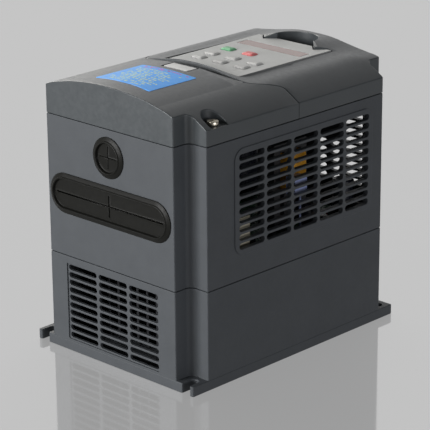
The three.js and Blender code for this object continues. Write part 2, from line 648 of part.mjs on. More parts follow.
// A key: a stem with a flange under the shell, and a cap with sloping sides.
function key({ x, y }) {
  const { width, depth, shoulder, top, slope, flange } = KEY;
  const ceiling = SHELL_TOP - KEYPAD_SKIN - REST_GAP;
  const cap = new THREE.CylinderGeometry(
    Math.SQRT1_2, Math.SQRT1_2, top - shoulder, 4, 1).rotateY(Math.PI / 4).rotateX(Math.PI / 2);
  const position = cap.getAttribute("position");
  for (let i = 0; i < position.count; i += 1) {
    const inset = position.getZ(i) > 0 ? slope : 0;
    position.setX(i, position.getX(i) * (width - 2 * inset));
    position.setY(i, position.getY(i) * (depth - 2 * inset));
  }
  cap.translate(x, y, (top + shoulder) / 2);
  const [hx, hy] = [width / 2, depth / 2];
  return box(x - hx, x + hx, y - hy, y + hy, ceiling - flange / 2, shoulder)
    .add(solid(cap))
    .add(box(x - hx - flange, x + hx + flange, y - hy - flange, y + hy + flange,
      ceiling - flange, ceiling));
}

function keypadBoard() {
  const { top, halfWidth, frontGap, backGap, dome, domeRise } = KEYPAD_BOARD;
  const board = box(-halfWidth, halfWidth, KEYPAD.front + frontGap, KEYPAD.back - GUIDE.depth - backGap,
    top - BOARD, top);
  const domes = keyPlaces.map(({ x, y }) =>
    prism(circle(x, y, dome), "z", top - BOARD / 2, top + domeRise));
  return joined([board, ...domes]);
}

function keypadRearCover() {
  const { bottom } = KEYPAD;
  const { low, high } = REAR_COVER;
  return prism(keypadOutline(-KEYPAD_SKIN - CLEARANCE), "z", bottom + low, bottom + high)
    .subtract(plugBlock(CLEARANCE, bottom - SKIM, bottom + REACH));
}

function keypadSocket() {
  return plugBlock(SOCKET.outer, CONTROL_TOP, BAY_FLOOR - SOCKET.topGap)
    .subtract(plugBlock(SOCKET.inner, CONTROL_TOP + SOCKET.floor, BAY_FLOOR + SKIM));
}

// ---- Power section -------------------------------------------------------------------------

function heatsink() {
  const { halfWidth, front, back, plate, top, fins, fin } = HEATSINK;
  const pitch = (2 * halfWidth - fin) / (fins - 1);
  const blades = Array.from({ length: fins }, (_, i) => {
    const x = -halfWidth + i * pitch;
    return box(x, x + fin, front, back, FLOOR + CLEARANCE, top - plate / 2);
  });
  return joined([box(-halfWidth, halfWidth, front, back, top - plate, top), ...blades]);
}

function fanFrame() {
  const { size, depth, y, z, bore, hub, corner, web, strut, holeInset, hole } = FAN;
  const near = y - depth / 2;
  const far = near + depth;
  const square = roundedRectangle(-size / 2, size / 2, z - size / 2, z + size / 2,
    corner, CORNER_STEPS);
  const frame = prism(square, "y", near, far)
    .subtract(prism(circle(0, z, bore), "y", near - SKIM, far + SKIM));
  const disc = prism(circle(0, z, hub), "y", near, near + web);
  const reach = bore + SKIM;
  const struts = [box(-reach, reach, near, near + web, z - strut / 2, z + strut / 2),
    box(-strut / 2, strut / 2, near, near + web, z - reach, z + reach)];
  const out = size / 2 - holeInset;
  const screwHoles = corners.map(([sx, sz]) =>
    prism(circle(sx * out, z + sz * out, hole), "y", near - SKIM, far + SKIM));
  return joined([frame, disc, ...struts]).subtract(joined(screwHoles));
}

function fanRotor() {
  const { depth, y, z, bore, hub } = FAN;
  const { front, back, tipGap, blades, root, thickness, chord, pitch } = ROTOR;
  const near = y - depth / 2 + front;
  const far = y + depth / 2 - back;
  const tip = bore - tipGap;
  const vanes = Array.from({ length: blades }, (_, i) => {
    const vane = new THREE.BoxGeometry(tip - hub + root, thickness, chord);
    vane.rotateX(THREE.MathUtils.degToRad(pitch));
    vane.translate((tip + hub) / 2, 0, 0);
    vane.rotateX(-Math.PI / 2);
    vane.rotateY((2 * Math.PI * i) / blades);
    vane.translate(0, (near + far) / 2, z);
    return solid(vane);
  });
  const swept = prism(circle(0, z, tip), "y", near, far);
  return joined(vanes).intersect(swept).add(prism(circle(0, z, hub), "y", near, far));
}

function powerBoard() {
  const { x, y, boss } = HOUSING_SCREW;
  const side = HALF_WIDTH - WALL - POWER_BOARD.sideGap;
  const end = y + POWER_BOARD.endGap;
  const cut = boss + POWER_BOARD.bossGap;
  const board = box(-side, side, -end, end, POWER_Z, POWER_Z + BOARD);
  const notches = corners.map(([sx, sy]) => {
    const xs = [sx * (x - cut), sx * (side + SKIM)].sort((a, b) => a - b);
    const ys = [sy * (y - cut), sy * (end + SKIM)].sort((a, b) => a - b);
    return box(...xs, ...ys, POWER_Z - SKIM, POWER_TOP + SKIM);
  });
  return board.subtract(joined(notches));
}

// A row of screw terminals: a stepped block with a barrier between neighbours.
function terminalBlock({ halfWidth, front, back, height, poles }, bottom) {
  const { step, barrier, inset, end } = TERMINAL;
  const top = bottom + height;
  const stepZ = bottom + height * step;
  const third = (back - front) / 3;
  const profile = [
    point(front + inset, bottom), point(back - inset, bottom), point(back - inset, stepZ),
    point(back - third + inset, stepZ + third / 2), point(back - third + inset, top - inset),
    point(front + third - inset, top - inset), point(front + third - inset, stepZ + third / 2),
    point(front + inset, stepZ),
  ];
  const pitch = (2 * halfWidth - barrier) / poles;
  const barriers = Array.from({ length: poles + 1 }, (_, i) => {
    const x = -halfWidth + i * pitch;
    return box(x, x + barrier, front, back, bottom, top);
  });
  return joined([prism(profile, "x", -halfWidth + end, halfWidth - end), ...barriers]);
}

// A sleeved capacitor can, with a crimp groove near its foot and a sunk top.
function capacitor({ x, y, radius, height }) {
  const { foot, groove, grooveDepth, edge, rim, vent } = CAPACITOR;
  const bottom = POWER_TOP;
  const top = bottom + height;
  return turned(
    [[0, bottom], [radius, bottom], [radius, bottom + foot],
      [radius - grooveDepth, bottom + foot + groove], [radius, bottom + foot + 2 * groove],
      [radius, top - edge], [radius - edge, top], [radius - rim, top], [radius - rim, top - vent],
      [0, top - vent]],
    x, y,
  );
}

// Ferrite frame standing across Y, with the centre leg inside the winding.
function transformerCore() {
  const { x, y, legs, depth, bottom, top, leg } = TRANSFORMER;
  const [x0, x1] = [x - depth / 2, x + depth / 2];
  const frame = box(x0, x1, y - legs / 2, y + legs / 2, bottom, top)
    .subtract(box(x0 - SKIM, x1 + SKIM, y - legs / 2 + leg, y + legs / 2 - leg, bottom + leg, top - leg));
  return frame.add(box(x0, x1, y - leg, y + leg, bottom, top));
}

function transformerWinding() {
  const { x, y, legs, depth, leg, winding, windingBottom, windingTop } = TRANSFORMER;
  const gap = CLEARANCE;
  const halfY = legs / 2 - leg - gap;
  const outline = roundedRectangle(x - winding / 2, x + winding / 2, y - halfY, y + halfY,
    TRANSFORMER.windingCorner, CORNER_STEPS);
  return prism(outline, "z", windingBottom, windingTop)
    .subtract(box(x - depth / 2 - gap, x + depth / 2 + gap, y - leg - gap, y + leg + gap,
      windingBottom - SKIM, windingTop + SKIM));
}

function inputChoke() {
  const { x, y, ring, section, sectionSides, ringSides } = CHOKE;
  const torus = new THREE.TorusGeometry(ring, section, sectionSides, ringSides);
  torus.translate(x, y, POWER_TOP + section);
  return solid(torus);
}

function hexStandoff(x, y) {
  return prism(circle(x, y, STANDOFF.radius, 6), "z", HEATSINK.top + CLEARANCE, POWER_Z - CLEARANCE);
}

function chargeLed() {
  const { x, y, flange, flangeHeight, radius, shoulder, nose, noseHeight, height } = LED;
  const bottom = POWER_TOP;
  return turned(
    [[0, bottom], [flange, bottom], [flange, bottom + flangeHeight], [radius, bottom + flangeHeight],
      [radius, bottom + shoulder], [nose, bottom + noseHeight], [0, bottom + height]],
    x, y,
  );
}

// Flat cable between the two boards, bowed along its way, with a connector at each end.
function boardRibbon() {
  const { halfWidth, y, bow, thickness, connector, connectorHalf, steps } = RIBBON;
  const low = POWER_TOP + connector;
  const top = CONTROL_Z - CLEARANCE;
  const high = top - connector;
  const line = (offset) => Array.from({ length: steps + 1 }, (_, i) => point(
    y + offset + bow * Math.sin((Math.PI * i) / steps),
    low - SKIM + ((high - low + 2 * SKIM) * i) / steps,
  ));
  const tape = prism([...line(thickness / 2), ...line(-thickness / 2).reverse()], "x",
    -halfWidth + thickness, halfWidth - thickness);
  const end = (from, to) =>
    box(-halfWidth, halfWidth, y - connectorHalf, y + connectorHalf, from, to);
  return joined([tape, end(POWER_TOP, low), end(high, top)]);
}

// Film capacitor held up off the power board on its two flat leads.
function filmCapacitor() {
  const { x0, x1, y0, y1, bottom, top, lead, leadInset } = FILM_CAPACITOR;
  const middle = (x0 + x1) / 2;
  const leads = [y0 + leadInset, y1 - leadInset - lead].map((y) =>
    box(middle - lead / 2, middle + lead / 2, y, y + lead, POWER_TOP, bottom + SKIM));
  return joined([box(x0, x1, y0, y1, bottom, top), ...leads]);
}

// Insulating sheet standing behind the boards, with a wing over the filter capacitor.
function insulatingSheet() {
  const { x0, x1, wing, y, thickness, shoulder, top } = SHEET;
  const outline = [point(x0, POWER_TOP), point(x1, POWER_TOP), point(x1, shoulder),
    point(wing, shoulder), point(wing, top), point(x0, top)];
  return prism(outline, "y", y, y + thickness);
}

function controlBoard() {
  const { halfWidth, front, back } = CONTROL_BOARD;
  const holes = corners.map(([sx, sy]) =>
    prism(circle(sx * BOARD_SCREW.x, sy * BOARD_SCREW.y, M3.shank + CLEARANCE), "z",
      CONTROL_Z - SKIM, CONTROL_TOP + SKIM));
  return box(-halfWidth, halfWidth, front, back, CONTROL_Z, CONTROL_Z + BOARD).subtract(joined(holes));
}

// ---- Assembly ------------------------------------------------------------------------------

const casingPlastic = { color: 0x3c3d41, roughness: 0.5, metalness: 0 };
const coverPlastic = { color: 0x46464a, roughness: 0.42, metalness: 0 };
const rubber = { color: 0x161614, roughness: 0.75, metalness: 0 };
const greyPlastic = { color: 0xa9a9a5, roughness: 0.5, metalness: 0 };
const blackPlastic = { color: 0x1c1c1e, roughness: 0.5, metalness: 0 };
const boardGreen = { color: 0x1f5a3a, roughness: 0.55, metalness: 0 };
const steel = { color: 0xb9b4a6, roughness: 0.3, metalness: 1 };
const brass = { color: 0xc0a058, roughness: 0.35, metalness: 1 };
const anodised = { color: 0x343538, roughness: 0.5, metalness: 0.8 };

const terminalBeige = { color: 0xb0aa98, roughness: 0.5, metalness: 0 };
const terminalGreen = { color: 0x2f6f46, roughness: 0.5, metalness: 0 };
const sleeve = { color: 0x24262b, roughness: 0.35, metalness: 0 };

const drive = new THREE.Group();

function standing({ x0, x1, y0, y1 }, bottom, top) {
  return box(x0, x1, y0, y1, bottom, top);
}

function place(name, manifold, finish) {
  const mesh = new THREE.Mesh(geometryOf(manifold), new THREE.MeshStandardMaterial(finish));
  mesh.name = name;
  drive.add(mesh);
}

place("base_housing", baseHousing(), casingPlastic);
place("middle_housing", middleHousing(), casingPlastic);
place("upper_cover", upperCover(), coverPlastic);
place("terminal_cover", terminalCover(), coverPlastic);
place("round_grommet", grommetBody(ROUND_GROMMET), rubber);
place("oval_grommet", grommetBody(OVAL_GROMMET), rubber);
place("rating_label",
  crownPlate(-LABEL.halfWidth, LABEL.halfWidth, LABEL.front, LABEL.back,
    LABEL.gap, LABEL.gap + LABEL.thickness),
  { color: 0x4f90ee, roughness: 0.4, metalness: 0 });
place("badge_plate",
  crownPlate(-BADGE.halfWidth, BADGE.halfWidth, BADGE.front, BADGE.back,
    LABEL.gap - BADGE.recess, -REST_GAP),
  greyPlastic);

for (const [side, sign] of [["left", -1], ["right", 1]]) {
  const x = sign * COVER_SCREW.x;
  const seat = COVER_SCREW.floor + REST_GAP;
  const blank = panHeadScrew(M4, x, COVER_SCREW.y, seat, COVER_SCREW.length);
  place(`cover_screw_${side}`, blank.subtract(crossRecess(M4, x, COVER_SCREW.y, seat)), steel);
}
corners.forEach(([sx, sy], i) => {
  const { x, y, bossTop, tipDepth } = HOUSING_SCREW;
  const seat = HOUSING_SCREW.seat - REST_GAP;
  const tip = bossTop - tipDepth;
  const housingScrew = turned(
    [[0, seat - M4.height], [M4.head, seat - M4.height], [M4.head, seat], [M4.shank, seat],
      [M4.shank, tip], [0, tip]],
    sx * x, sy * y,
  );
  const boardSeat = CONTROL_Z + BOARD + REST_GAP;
  const boardScrew = panHeadScrew(M3, sx * BOARD_SCREW.x, sy * BOARD_SCREW.y, boardSeat, BOARD_SCREW.length);
  place(`housing_screw_${i + 1}`, housingScrew, steel);
  place(`board_screw_${i + 1}`, boardScrew, steel);
  place(`board_standoff_${i + 1}`, hexStandoff(sx * STANDOFF.x, sy * STANDOFF.y), brass);
});

place("keypad_shell", keypadShell(), greyPlastic);
place("keypad_faceplate", keypadFaceplate(), greyPlastic);
place("display_window", windowBlock(-CLEARANCE, DISPLAY.top + CLEARANCE, KEYPAD.top),
  { color: 0xa58c86, roughness: 0.2, metalness: 0 });
place("display_module",
  box(-DISPLAY.halfWidth, DISPLAY.halfWidth, WINDOW.y - DISPLAY.halfDepth, WINDOW.y + DISPLAY.halfDepth,
    KEYPAD_BOARD.top + CLEARANCE, DISPLAY.top), blackPlastic);
place("keypad_board", keypadBoard(), boardGreen);
place("keypad_rear_cover", keypadRearCover(), greyPlastic);
place("keypad_plug",
  plugBlock(0, CONTROL_TOP + PLUG.lift, KEYPAD_BOARD.top - BOARD - CLEARANCE), blackPlastic);
for (const keyPlace of keyPlaces) {
  place(keyPlace.name, key(keyPlace), { color: keyPlace.color, roughness: 0.45, metalness: 0 });
}
place("keypad_socket", keypadSocket(), blackPlastic);

place("control_board", controlBoard(), boardGreen);
place("control_terminal_block", terminalBlock(CONTROL_TERMINALS, CONTROL_TOP), terminalGreen);
place("board_ribbon", boardRibbon(), { color: 0x8d8f92, roughness: 0.6, metalness: 0 });

place("heatsink", heatsink(), anodised);
place("fan_frame", fanFrame(), blackPlastic);
place("fan_rotor", fanRotor(), blackPlastic);
place("igbt_module", standing(IGBT, HEATSINK.top + CLEARANCE, MODULE_TOP), blackPlastic);
place("rectifier_bridge", standing(RECTIFIER, HEATSINK.top + CLEARANCE, MODULE_TOP), blackPlastic);
place("power_board", powerBoard(), boardGreen);
place("power_terminal_block", terminalBlock(POWER_TERMINALS, POWER_TOP), terminalBeige);
DC_CAPACITORS.ys.forEach((y, i) => {
  place(`dc_capacitor_${i + 1}`, capacitor({ ...DC_CAPACITORS, y }), sleeve);
});
FILTER_CAPACITORS.forEach((can, i) => {
  place(`filter_capacitor_${i + 1}`, capacitor(can), blackPlastic);
});
place("film_capacitor", filmCapacitor(), { color: 0x8f9bc0, roughness: 0.4, metalness: 0 });
place("insulating_sheet", insulatingSheet(), blackPlastic);
place("transformer_core", transformerCore(), { color: 0x2c2d2f, roughness: 0.6, metalness: 0.2 });
place("transformer_winding", transformerWinding(), { color: 0xc98a1c, roughness: 0.35, metalness: 0 });
place("input_choke", inputChoke(), { color: 0xb5652b, roughness: 0.4, metalness: 0.5 });
place("precharge_relay", standing(RELAY, POWER_TOP, RELAY.top), blackPlastic);
place("charge_led", chargeLed(), { color: 0xd43a2a, roughness: 0.3, metalness: 0 });

export default drive;
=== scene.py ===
import json
import math
import random

import bmesh
import bpy
import numpy as np
from mathutils import Matrix, Vector
from mathutils.geometry import delaunay_2d_cdt, tessellate_polygon


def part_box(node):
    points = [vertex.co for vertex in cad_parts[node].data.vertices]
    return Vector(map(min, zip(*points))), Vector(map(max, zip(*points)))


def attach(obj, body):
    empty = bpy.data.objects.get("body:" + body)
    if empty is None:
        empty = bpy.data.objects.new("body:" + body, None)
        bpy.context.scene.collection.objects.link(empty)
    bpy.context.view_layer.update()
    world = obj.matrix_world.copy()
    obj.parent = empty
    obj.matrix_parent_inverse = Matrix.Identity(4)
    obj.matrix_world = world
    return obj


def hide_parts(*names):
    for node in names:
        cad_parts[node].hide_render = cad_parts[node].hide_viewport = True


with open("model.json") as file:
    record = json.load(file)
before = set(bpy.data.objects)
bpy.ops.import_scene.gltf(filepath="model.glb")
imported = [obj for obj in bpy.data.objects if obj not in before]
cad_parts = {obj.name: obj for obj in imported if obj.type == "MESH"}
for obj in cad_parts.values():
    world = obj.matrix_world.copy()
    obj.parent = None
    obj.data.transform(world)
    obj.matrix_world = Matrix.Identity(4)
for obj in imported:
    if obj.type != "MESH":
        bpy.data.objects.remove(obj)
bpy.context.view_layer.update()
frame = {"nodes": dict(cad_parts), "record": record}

MM = 0.001  # shapes are worked out in millimetres, and scaled when they become objects
nodes = frame["nodes"]
scene = bpy.context.scene
scene.view_settings.view_transform = "Standard"


def add_object(name, data):
    obj = bpy.data.objects.new(name, data)
    scene.collection.objects.link(obj)
    return obj


# ---- Camera
VIEWPOINT = (0.799817, -0.827337, 0.465169)
HEADING, DESCENT, ROLL = 44.084, 19.027, -0.442
LENS, SENSOR = 177.07, 36.0
camera = add_object("camera", bpy.data.cameras.new("camera"))
camera.data.sensor_width = SENSOR
camera.data.lens = LENS
camera.data.clip_start = 0.05
camera.data.clip_end = 60.0
camera.matrix_world = (
    Matrix.Translation(VIEWPOINT)
    @ Matrix.Rotation(math.radians(HEADING), 4, "Z")
    @ Matrix.Rotation(math.radians(90 - DESCENT), 4, "X")
    @ Matrix.Rotation(math.radians(ROLL), 4, "Z")
)
scene.camera = camera


# ---- Materials
WAVES = 3.18  # bands that a Wave texture of scale 1 has in one unit


def put(node, values):
    for socket, value in values.items():
        node.inputs[socket].default_value = value
    return node


class Nodes:
    """A Principled material with object coordinates at hand. Sizes are in metres."""

    def __init__(self, name):
        self.name = name
        self.material = bpy.data.materials.new(name)
        self.material.use_nodes = True
        self.tree = self.material.node_tree
        self.bsdf = self.tree.nodes["Principled BSDF"]
        self.coords = self.add("ShaderNodeTexCoord").outputs["Object"]

    def add(self, kind, values=None, **settings):
        node = self.tree.nodes.new(kind)
        for key, value in settings.items():
            setattr(node, key, value)
        return put(node, values or {})

    def link(self, source, target):
        self.tree.links.new(source, target)

    def noise(self, size, detail=2.0, stretch=None):
        texture = self.add("ShaderNodeTexNoise", {"Scale": 1.0 / size, "Detail": detail})
        at = self.coords
        if stretch:
            mapping = self.add("ShaderNodeMapping", {"Scale": stretch})
            self.link(at, mapping.inputs["Vector"])
            at = mapping.outputs["Vector"]
        self.link(at, texture.inputs["Vector"])
        return texture.outputs["Fac"]

    def bands(self, axis, size, distortion=0.0):
        values = {"Scale": 1.0 / (size * WAVES), "Distortion": distortion}
        texture = self.add("ShaderNodeTexWave", values, bands_direction=axis)
        self.link(self.coords, texture.inputs["Vector"])
        return texture.outputs["Fac"]

    def ranged(self, value, low, high, start=0.3, end=0.7):
        ends = {"From Min": start, "From Max": end, "To Min": low, "To Max": high}
        node = self.add("ShaderNodeMapRange", ends)
        self.link(value, node.inputs["Value"])
        return node.outputs["Result"]

    def mixed(self, factor, a, b):
        node = self.add("ShaderNodeMix", data_type="RGBA")
        for socket, value in ((node.inputs["A"], a), (node.inputs["B"], b)):
            if isinstance(value, tuple):
                socket.default_value = (*value, 1)
            else:
                self.link(value, socket)
        self.link(factor, node.inputs["Factor"])
        return node.outputs["Result"]

    def bump(self, height, distance):
        node = self.add("ShaderNodeBump", {"Distance": distance, "Strength": 1.0})
        self.link(height, node.inputs["Height"])
        previous = self.bsdf.inputs["Normal"]
        if previous.is_linked:
            self.link(previous.links[0].from_socket, node.inputs["Normal"])
        self.link(node.outputs["Normal"], previous)


def tone(color, change):
    return tuple(min(c * (1 + change), 1.0) for c in color)


CLOUD_SIZE, GLOSS_SIZE, GLOSS_SPREAD = 14, 2.5, 0.05


def moulded(name, color, roughness=0.45, vary=0.05, grain=0.35, depth=0.012, specular=0.5,
            metallic=0.0, stretch=None):
    """Fine grain, uneven gloss and a faint change of tone. grain and depth are in millimetres."""
    m = Nodes(name)
    cloud = m.ranged(m.noise(CLOUD_SIZE * MM, 3.0), 0.0, 1.0)
    m.link(m.mixed(cloud, tone(color, -vary), tone(color, vary)), m.bsdf.inputs["Base Color"])
    gloss = m.noise(GLOSS_SIZE * MM, 3.0, stretch)
    m.link(m.ranged(gloss, roughness - GLOSS_SPREAD, roughness + GLOSS_SPREAD), m.bsdf.inputs["Roughness"])
    put(m.bsdf, {"Specular IOR Level": specular, "Metallic": metallic})
    m.bump(m.noise(grain * MM, 2.0, stretch), depth * MM)
    return m


TRACK_LONG, TRACK_PITCH, TRACK_GAP, PAD_PITCH = 7.0, 1.3, 0.22, 2.6
PAD_TIN = (0.5, 0.5, 0.47)
LAP_PITCH, WIRE_PITCH = 9.5, 1.27


def circuit_board(name, color):
    """Solder mask over copper tracks, with tinned pads."""
    m = moulded(name, color, 0.28, grain=0.2, depth=0.004)
    tracks = m.add("ShaderNodeTexBrick", offset=0.37, offset_frequency=3, squash=0.6)
    put(tracks, {"Scale": 1.0, "Brick Width": TRACK_LONG * MM, "Row Height": TRACK_PITCH * MM,
                 "Mortar Size": TRACK_GAP * MM})
    dots = m.add("ShaderNodeTexVoronoi", {"Scale": 1.0 / (PAD_PITCH * MM)}, distance="EUCLIDEAN")
    for texture in (tracks, dots):
        m.link(m.coords, texture.inputs["Vector"])
    pads = m.ranged(dots.outputs["Distance"], 1.0, 0.0, 0.16, 0.2)
    plain = m.bsdf.inputs["Base Color"].links[0].from_socket
    lined = m.mixed(tracks.outputs["Fac"], plain, tone(color, 0.9))
    m.link(m.mixed(pads, lined, PAD_TIN), m.bsdf.inputs["Base Color"])
    m.bump(tracks.outputs["Fac"], 0.03 * MM)
    return m


def wound_tape(name, color):
    """Layers of thin glossy tape wound round Z."""
    m = moulded(name, color, 0.2, vary=0.12, grain=1.5, depth=0.01)
    laps = m.ranged(m.bands("Z", LAP_PITCH * MM, 0.6), 0.0, 1.0, 0.42, 0.5)
    plain = m.bsdf.inputs["Base Color"].links[0].from_socket
    m.link(m.mixed(laps, plain, tone(color, -0.35)), m.bsdf.inputs["Base Color"])
    m.bump(laps, 0.06 * MM)
    return m


def flat_cable(name, color):
    m = moulded(name, color, 0.5)
    m.bump(m.bands("X", WIRE_PITCH * MM), 0.3 * MM)
    return m


BRUSHED = (1.0, 1.0, 0.06)
finishes = [
    moulded("casing_plastic", (0.053, 0.058, 0.064), 0.5, specular=0.3, grain=0.3, depth=0.014),
    moulded("cover_plastic", (0.050, 0.056, 0.060), 0.33, specular=0.5, grain=0.22, depth=0.005),
    moulded("grommet_rubber", (0.0085, 0.0085, 0.0075), 0.4, specular=0.1, depth=0.02),
    moulded("label_blue", (0.075, 0.39, 1.0), 0.42, specular=0.22, grain=0.15, depth=0.001),
    moulded("badge_grey", (0.60, 0.60, 0.59), 0.38, depth=0.004),
    moulded("keypad_grey", (0.475, 0.48, 0.47), 0.42, grain=0.2, depth=0.006),
    moulded("key_grey", (0.46, 0.46, 0.45), 0.5, grain=0.25, depth=0.008),
    moulded("key_green", (0.13, 0.40, 0.20), 0.45, grain=0.25, depth=0.008),
    moulded("key_red", (0.66, 0.15, 0.15), 0.45, grain=0.25, depth=0.008),
    moulded("window_red", (0.32, 0.225, 0.205), 0.16, grain=0.15, depth=0.001),
    moulded("black_plastic", (0.013, 0.013, 0.014), 0.42),
    circuit_board("board_green", (0.010, 0.085, 0.036)),
    moulded("terminal_beige", (0.40, 0.37, 0.28), 0.45),
    moulded("terminal_green", (0.03, 0.16, 0.06), 0.42),
    flat_cable("ribbon_grey", (0.26, 0.27, 0.29)),
    moulded("capacitor_sleeve", (0.016, 0.018, 0.026), 0.28, depth=0.006),
    moulded("film_blue", (0.28, 0.33, 0.55), 0.35),
    wound_tape("tape_amber", (0.66, 0.31, 0.02)),
    moulded("ferrite", (0.026, 0.026, 0.028), 0.5, grain=0.5, depth=0.03),
    moulded("led_red", (0.7, 0.04, 0.03), 0.22),
    moulded("winding_copper", (0.62, 0.24, 0.09), 0.3, metallic=1.0),
    moulded("screw_steel", (0.62, 0.57, 0.47), 0.28, metallic=1.0, depth=0.004),
    moulded("standoff_brass", (0.6, 0.43, 0.17), 0.3, metallic=1.0),
    # painted shade: the heatsink is near black, not bare aluminium, to stand in for the shade inside the
    # casing
    moulded("heatsink_aluminium", (0.035, 0.036, 0.04), 0.5, metallic=0.8, stretch=BRUSHED),
]
materials = {made.name: made.material for made in finishes}
slot_of = {s["node"]: s["material_slot"] for s in frame["record"]["subparts"]}


def paint(obj, material):
    obj.data.materials.clear()
    obj.data.materials.append(material)


# ---- Outlines: lists of (u, v), counter-clockwise
def arc(u, v, radius, start, end, steps):
    """steps + 1 points of an arc, in degrees."""
    angles = [math.radians(start + (end - start) * i / steps) for i in range(steps + 1)]
    return [(u + radius * math.cos(a), v + radius * math.sin(a)) for a in angles]


def circle(u, v, radius, sides=48):
    return arc(u, v, radius, 0, 360 - 360 / sides, sides - 1)


def rounded(u0, u1, v0, v1, radius, steps=8):
    r = radius
    return (arc(u1 - r, v0 + r, r, -90, 0, steps) + arc(u1 - r, v1 - r, r, 0, 90, steps)
            + arc(u0 + r, v1 - r, r, 90, 180, steps) + arc(u0 + r, v0 + r, r, 180, 270, steps))


def stadium(u, v, length, height, steps=8):
    offset = (length - height) / 2
    return arc(u + offset, v, height / 2, -90, 90, steps) + arc(u - offset, v, height / 2, 90, 270, steps)


def cross(u, v, across, up, half):
    """A plus sign whose arms reach across and up from its middle, and are 2 * half wide."""
    right = [(across, -half), (across, half), (half, half)]
    above = [(half, up), (-half, up), (-half, half)]
    return [(u + sign * x, v + sign * y) for sign in (1, -1) for x, y in right + above]


def normals_of(loop):
    """Mitred normals, to the right of the way round: outwards where the loop is counter-clockwise."""
    found = []
    for before, here, after in zip(loop[-1:] + loop[:-1], loop, loop[1:] + loop[:1]):
        a = Vector(here) - Vector(before)
        b = Vector(after) - Vector(here)
        na, nb = (Vector((d.y, -d.x)).normalized() for d in (a, b))
        middle = (na + nb).normalized()
        found.append(middle / max(middle.dot(nb), 0.45))
    return found


def offset(loop, distance):
    return [(u + n.x * distance, v + n.y * distance) for (u, v), n in zip(loop, normals_of(loop))]


def inside(points, loops):
    """Which points lie inside an odd number of the loops."""
    p = np.array(points, float).reshape(-1, 2)
    found = np.zeros(len(p), bool)
    for loop in loops:
        a = np.array(loop, float)
        b = np.roll(a, -1, 0)
        x, y = p[:, :1], p[:, 1:]
        crossing = (a[:, 1] > y) != (b[:, 1] > y)
        rise = np.where(b[:, 1] == a[:, 1], 1.0, b[:, 1] - a[:, 1])
        at = a[:, 0] + (y - a[:, 1]) * (b[:, 0] - a[:, 0]) / rise
        found ^= (np.sum(crossing & (x < at), axis=1) % 2).astype(bool)
    return found


def turn(top, radius, steps=3):
    """(offset, height) levels of a rounded edge, from the face down to the wall beside it."""
    angles = [math.pi / 2 * i / steps for i in range(steps + 1)]
    return [(-radius * (1 - math.sin(a)), top - radius * (1 - math.cos(a))) for a in angles]


# ---- Meshes
class Shape:
    """A mesh in the making. place turns (u, v, height) into a point."""

    def __init__(self, place=lambda u, v, h: (u, v, h)):
        self.bm = bmesh.new()
        self.place = place

    def ring(self, loop, height, place=None):
        spot = place or self.place
        return [self.bm.verts.new(spot(u, v, height)) for u, v in loop]

    def face(self, verts):
        if len(set(verts)) == len(verts) and not self.bm.faces.get(verts):
            self.bm.faces.new(verts)

    def strip(self, a, b, closed=True):
        for i in range(len(a) - (not closed)):
            j = (i + 1) % len(a)
            self.face((a[i], a[j], b[j], b[i]))

    def loft(self, rings, closed=True):
        for a, b in zip(rings, rings[1:]):
            self.strip(a, b, closed)

    def edge(self, loop, levels, place=None):
        """Rings at (offset, height) levels round one loop, joined up."""
        rings = [self.ring(offset(loop, o), h, place) for o, h in levels]
        self.loft(rings)
        return rings

    def fill(self, rings, flat=lambda co: co.xy):
        points = [[flat(v.co).to_3d() for v in ring] for ring in rings]
        verts = [v for ring in rings for v in ring]
        for triangle in tessellate_polygon(points):
            self.face([verts[i] for i in triangle])

    def plate(self, outer, holes, bottom, top, radius, under=0.0, steps=3):
        """A plate with rounded edges; holes are counter-clockwise loops."""
        sides = [self.edge(loop, turn(top, radius, steps) + lower(bottom, under, steps))
                 for loop in [outer] + [hole[::-1] for hole in holes]]
        self.fill([rings[0] for rings in sides])
        self.fill([rings[-1] for rings in sides])

    def solid(self, loop, levels):
        """Rings at (offset, height) levels round one loop, closed at both ends."""
        rings = self.edge(loop, levels)
        self.fill([rings[0]])
        self.fill([rings[-1]])


def lower(bottom, radius, steps=3):
    if not radius:
        return [(0, bottom)]
    return [(o, 2 * bottom - h) for o, h in reversed(turn(bottom, radius, steps))]


def xz(co):
    return Vector((co.x, co.z))


def yz(co):
    return Vector((co.y, co.z))


def shade(obj, sharp=None):
    """Smooth normals weighted by area, with creases where faces turn by more than sharp degrees."""
    obj.data.polygons.foreach_set("use_smooth", [True] * len(obj.data.polygons))
    if sharp:
        obj.data.set_sharp_from_angle(angle=math.radians(sharp))
    obj.modifiers.new("normals", "WEIGHTED_NORMAL").keep_sharp = bool(sharp)


WELD, SLIVER = 0.002, 0.001  # millimetres


def piece(name, shape, slot, body, *replaced, sharp=50, material=None):
    """Turns a shape into an object that rides on a body and replaces CAD nodes."""
    bm = shape.bm
    bmesh.ops.remove_doubles(bm, verts=bm.verts, dist=WELD)
    bmesh.ops.dissolve_degenerate(bm, edges=bm.edges, dist=SLIVER)
    bmesh.ops.recalc_face_normals(bm, faces=bm.faces)
    bm.transform(Matrix.Scale(MM, 4))
    mesh = bpy.data.meshes.new(name)
    bm.to_mesh(mesh)
    bm.free()
    obj = add_object(name, mesh)
    shade(obj, sharp)
    paint(obj, material or materials[slot])
    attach(obj, body)
    if replaced:
        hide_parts(*replaced)


SOFTENED, SOFTENED_ANGLE = 0.3, 32


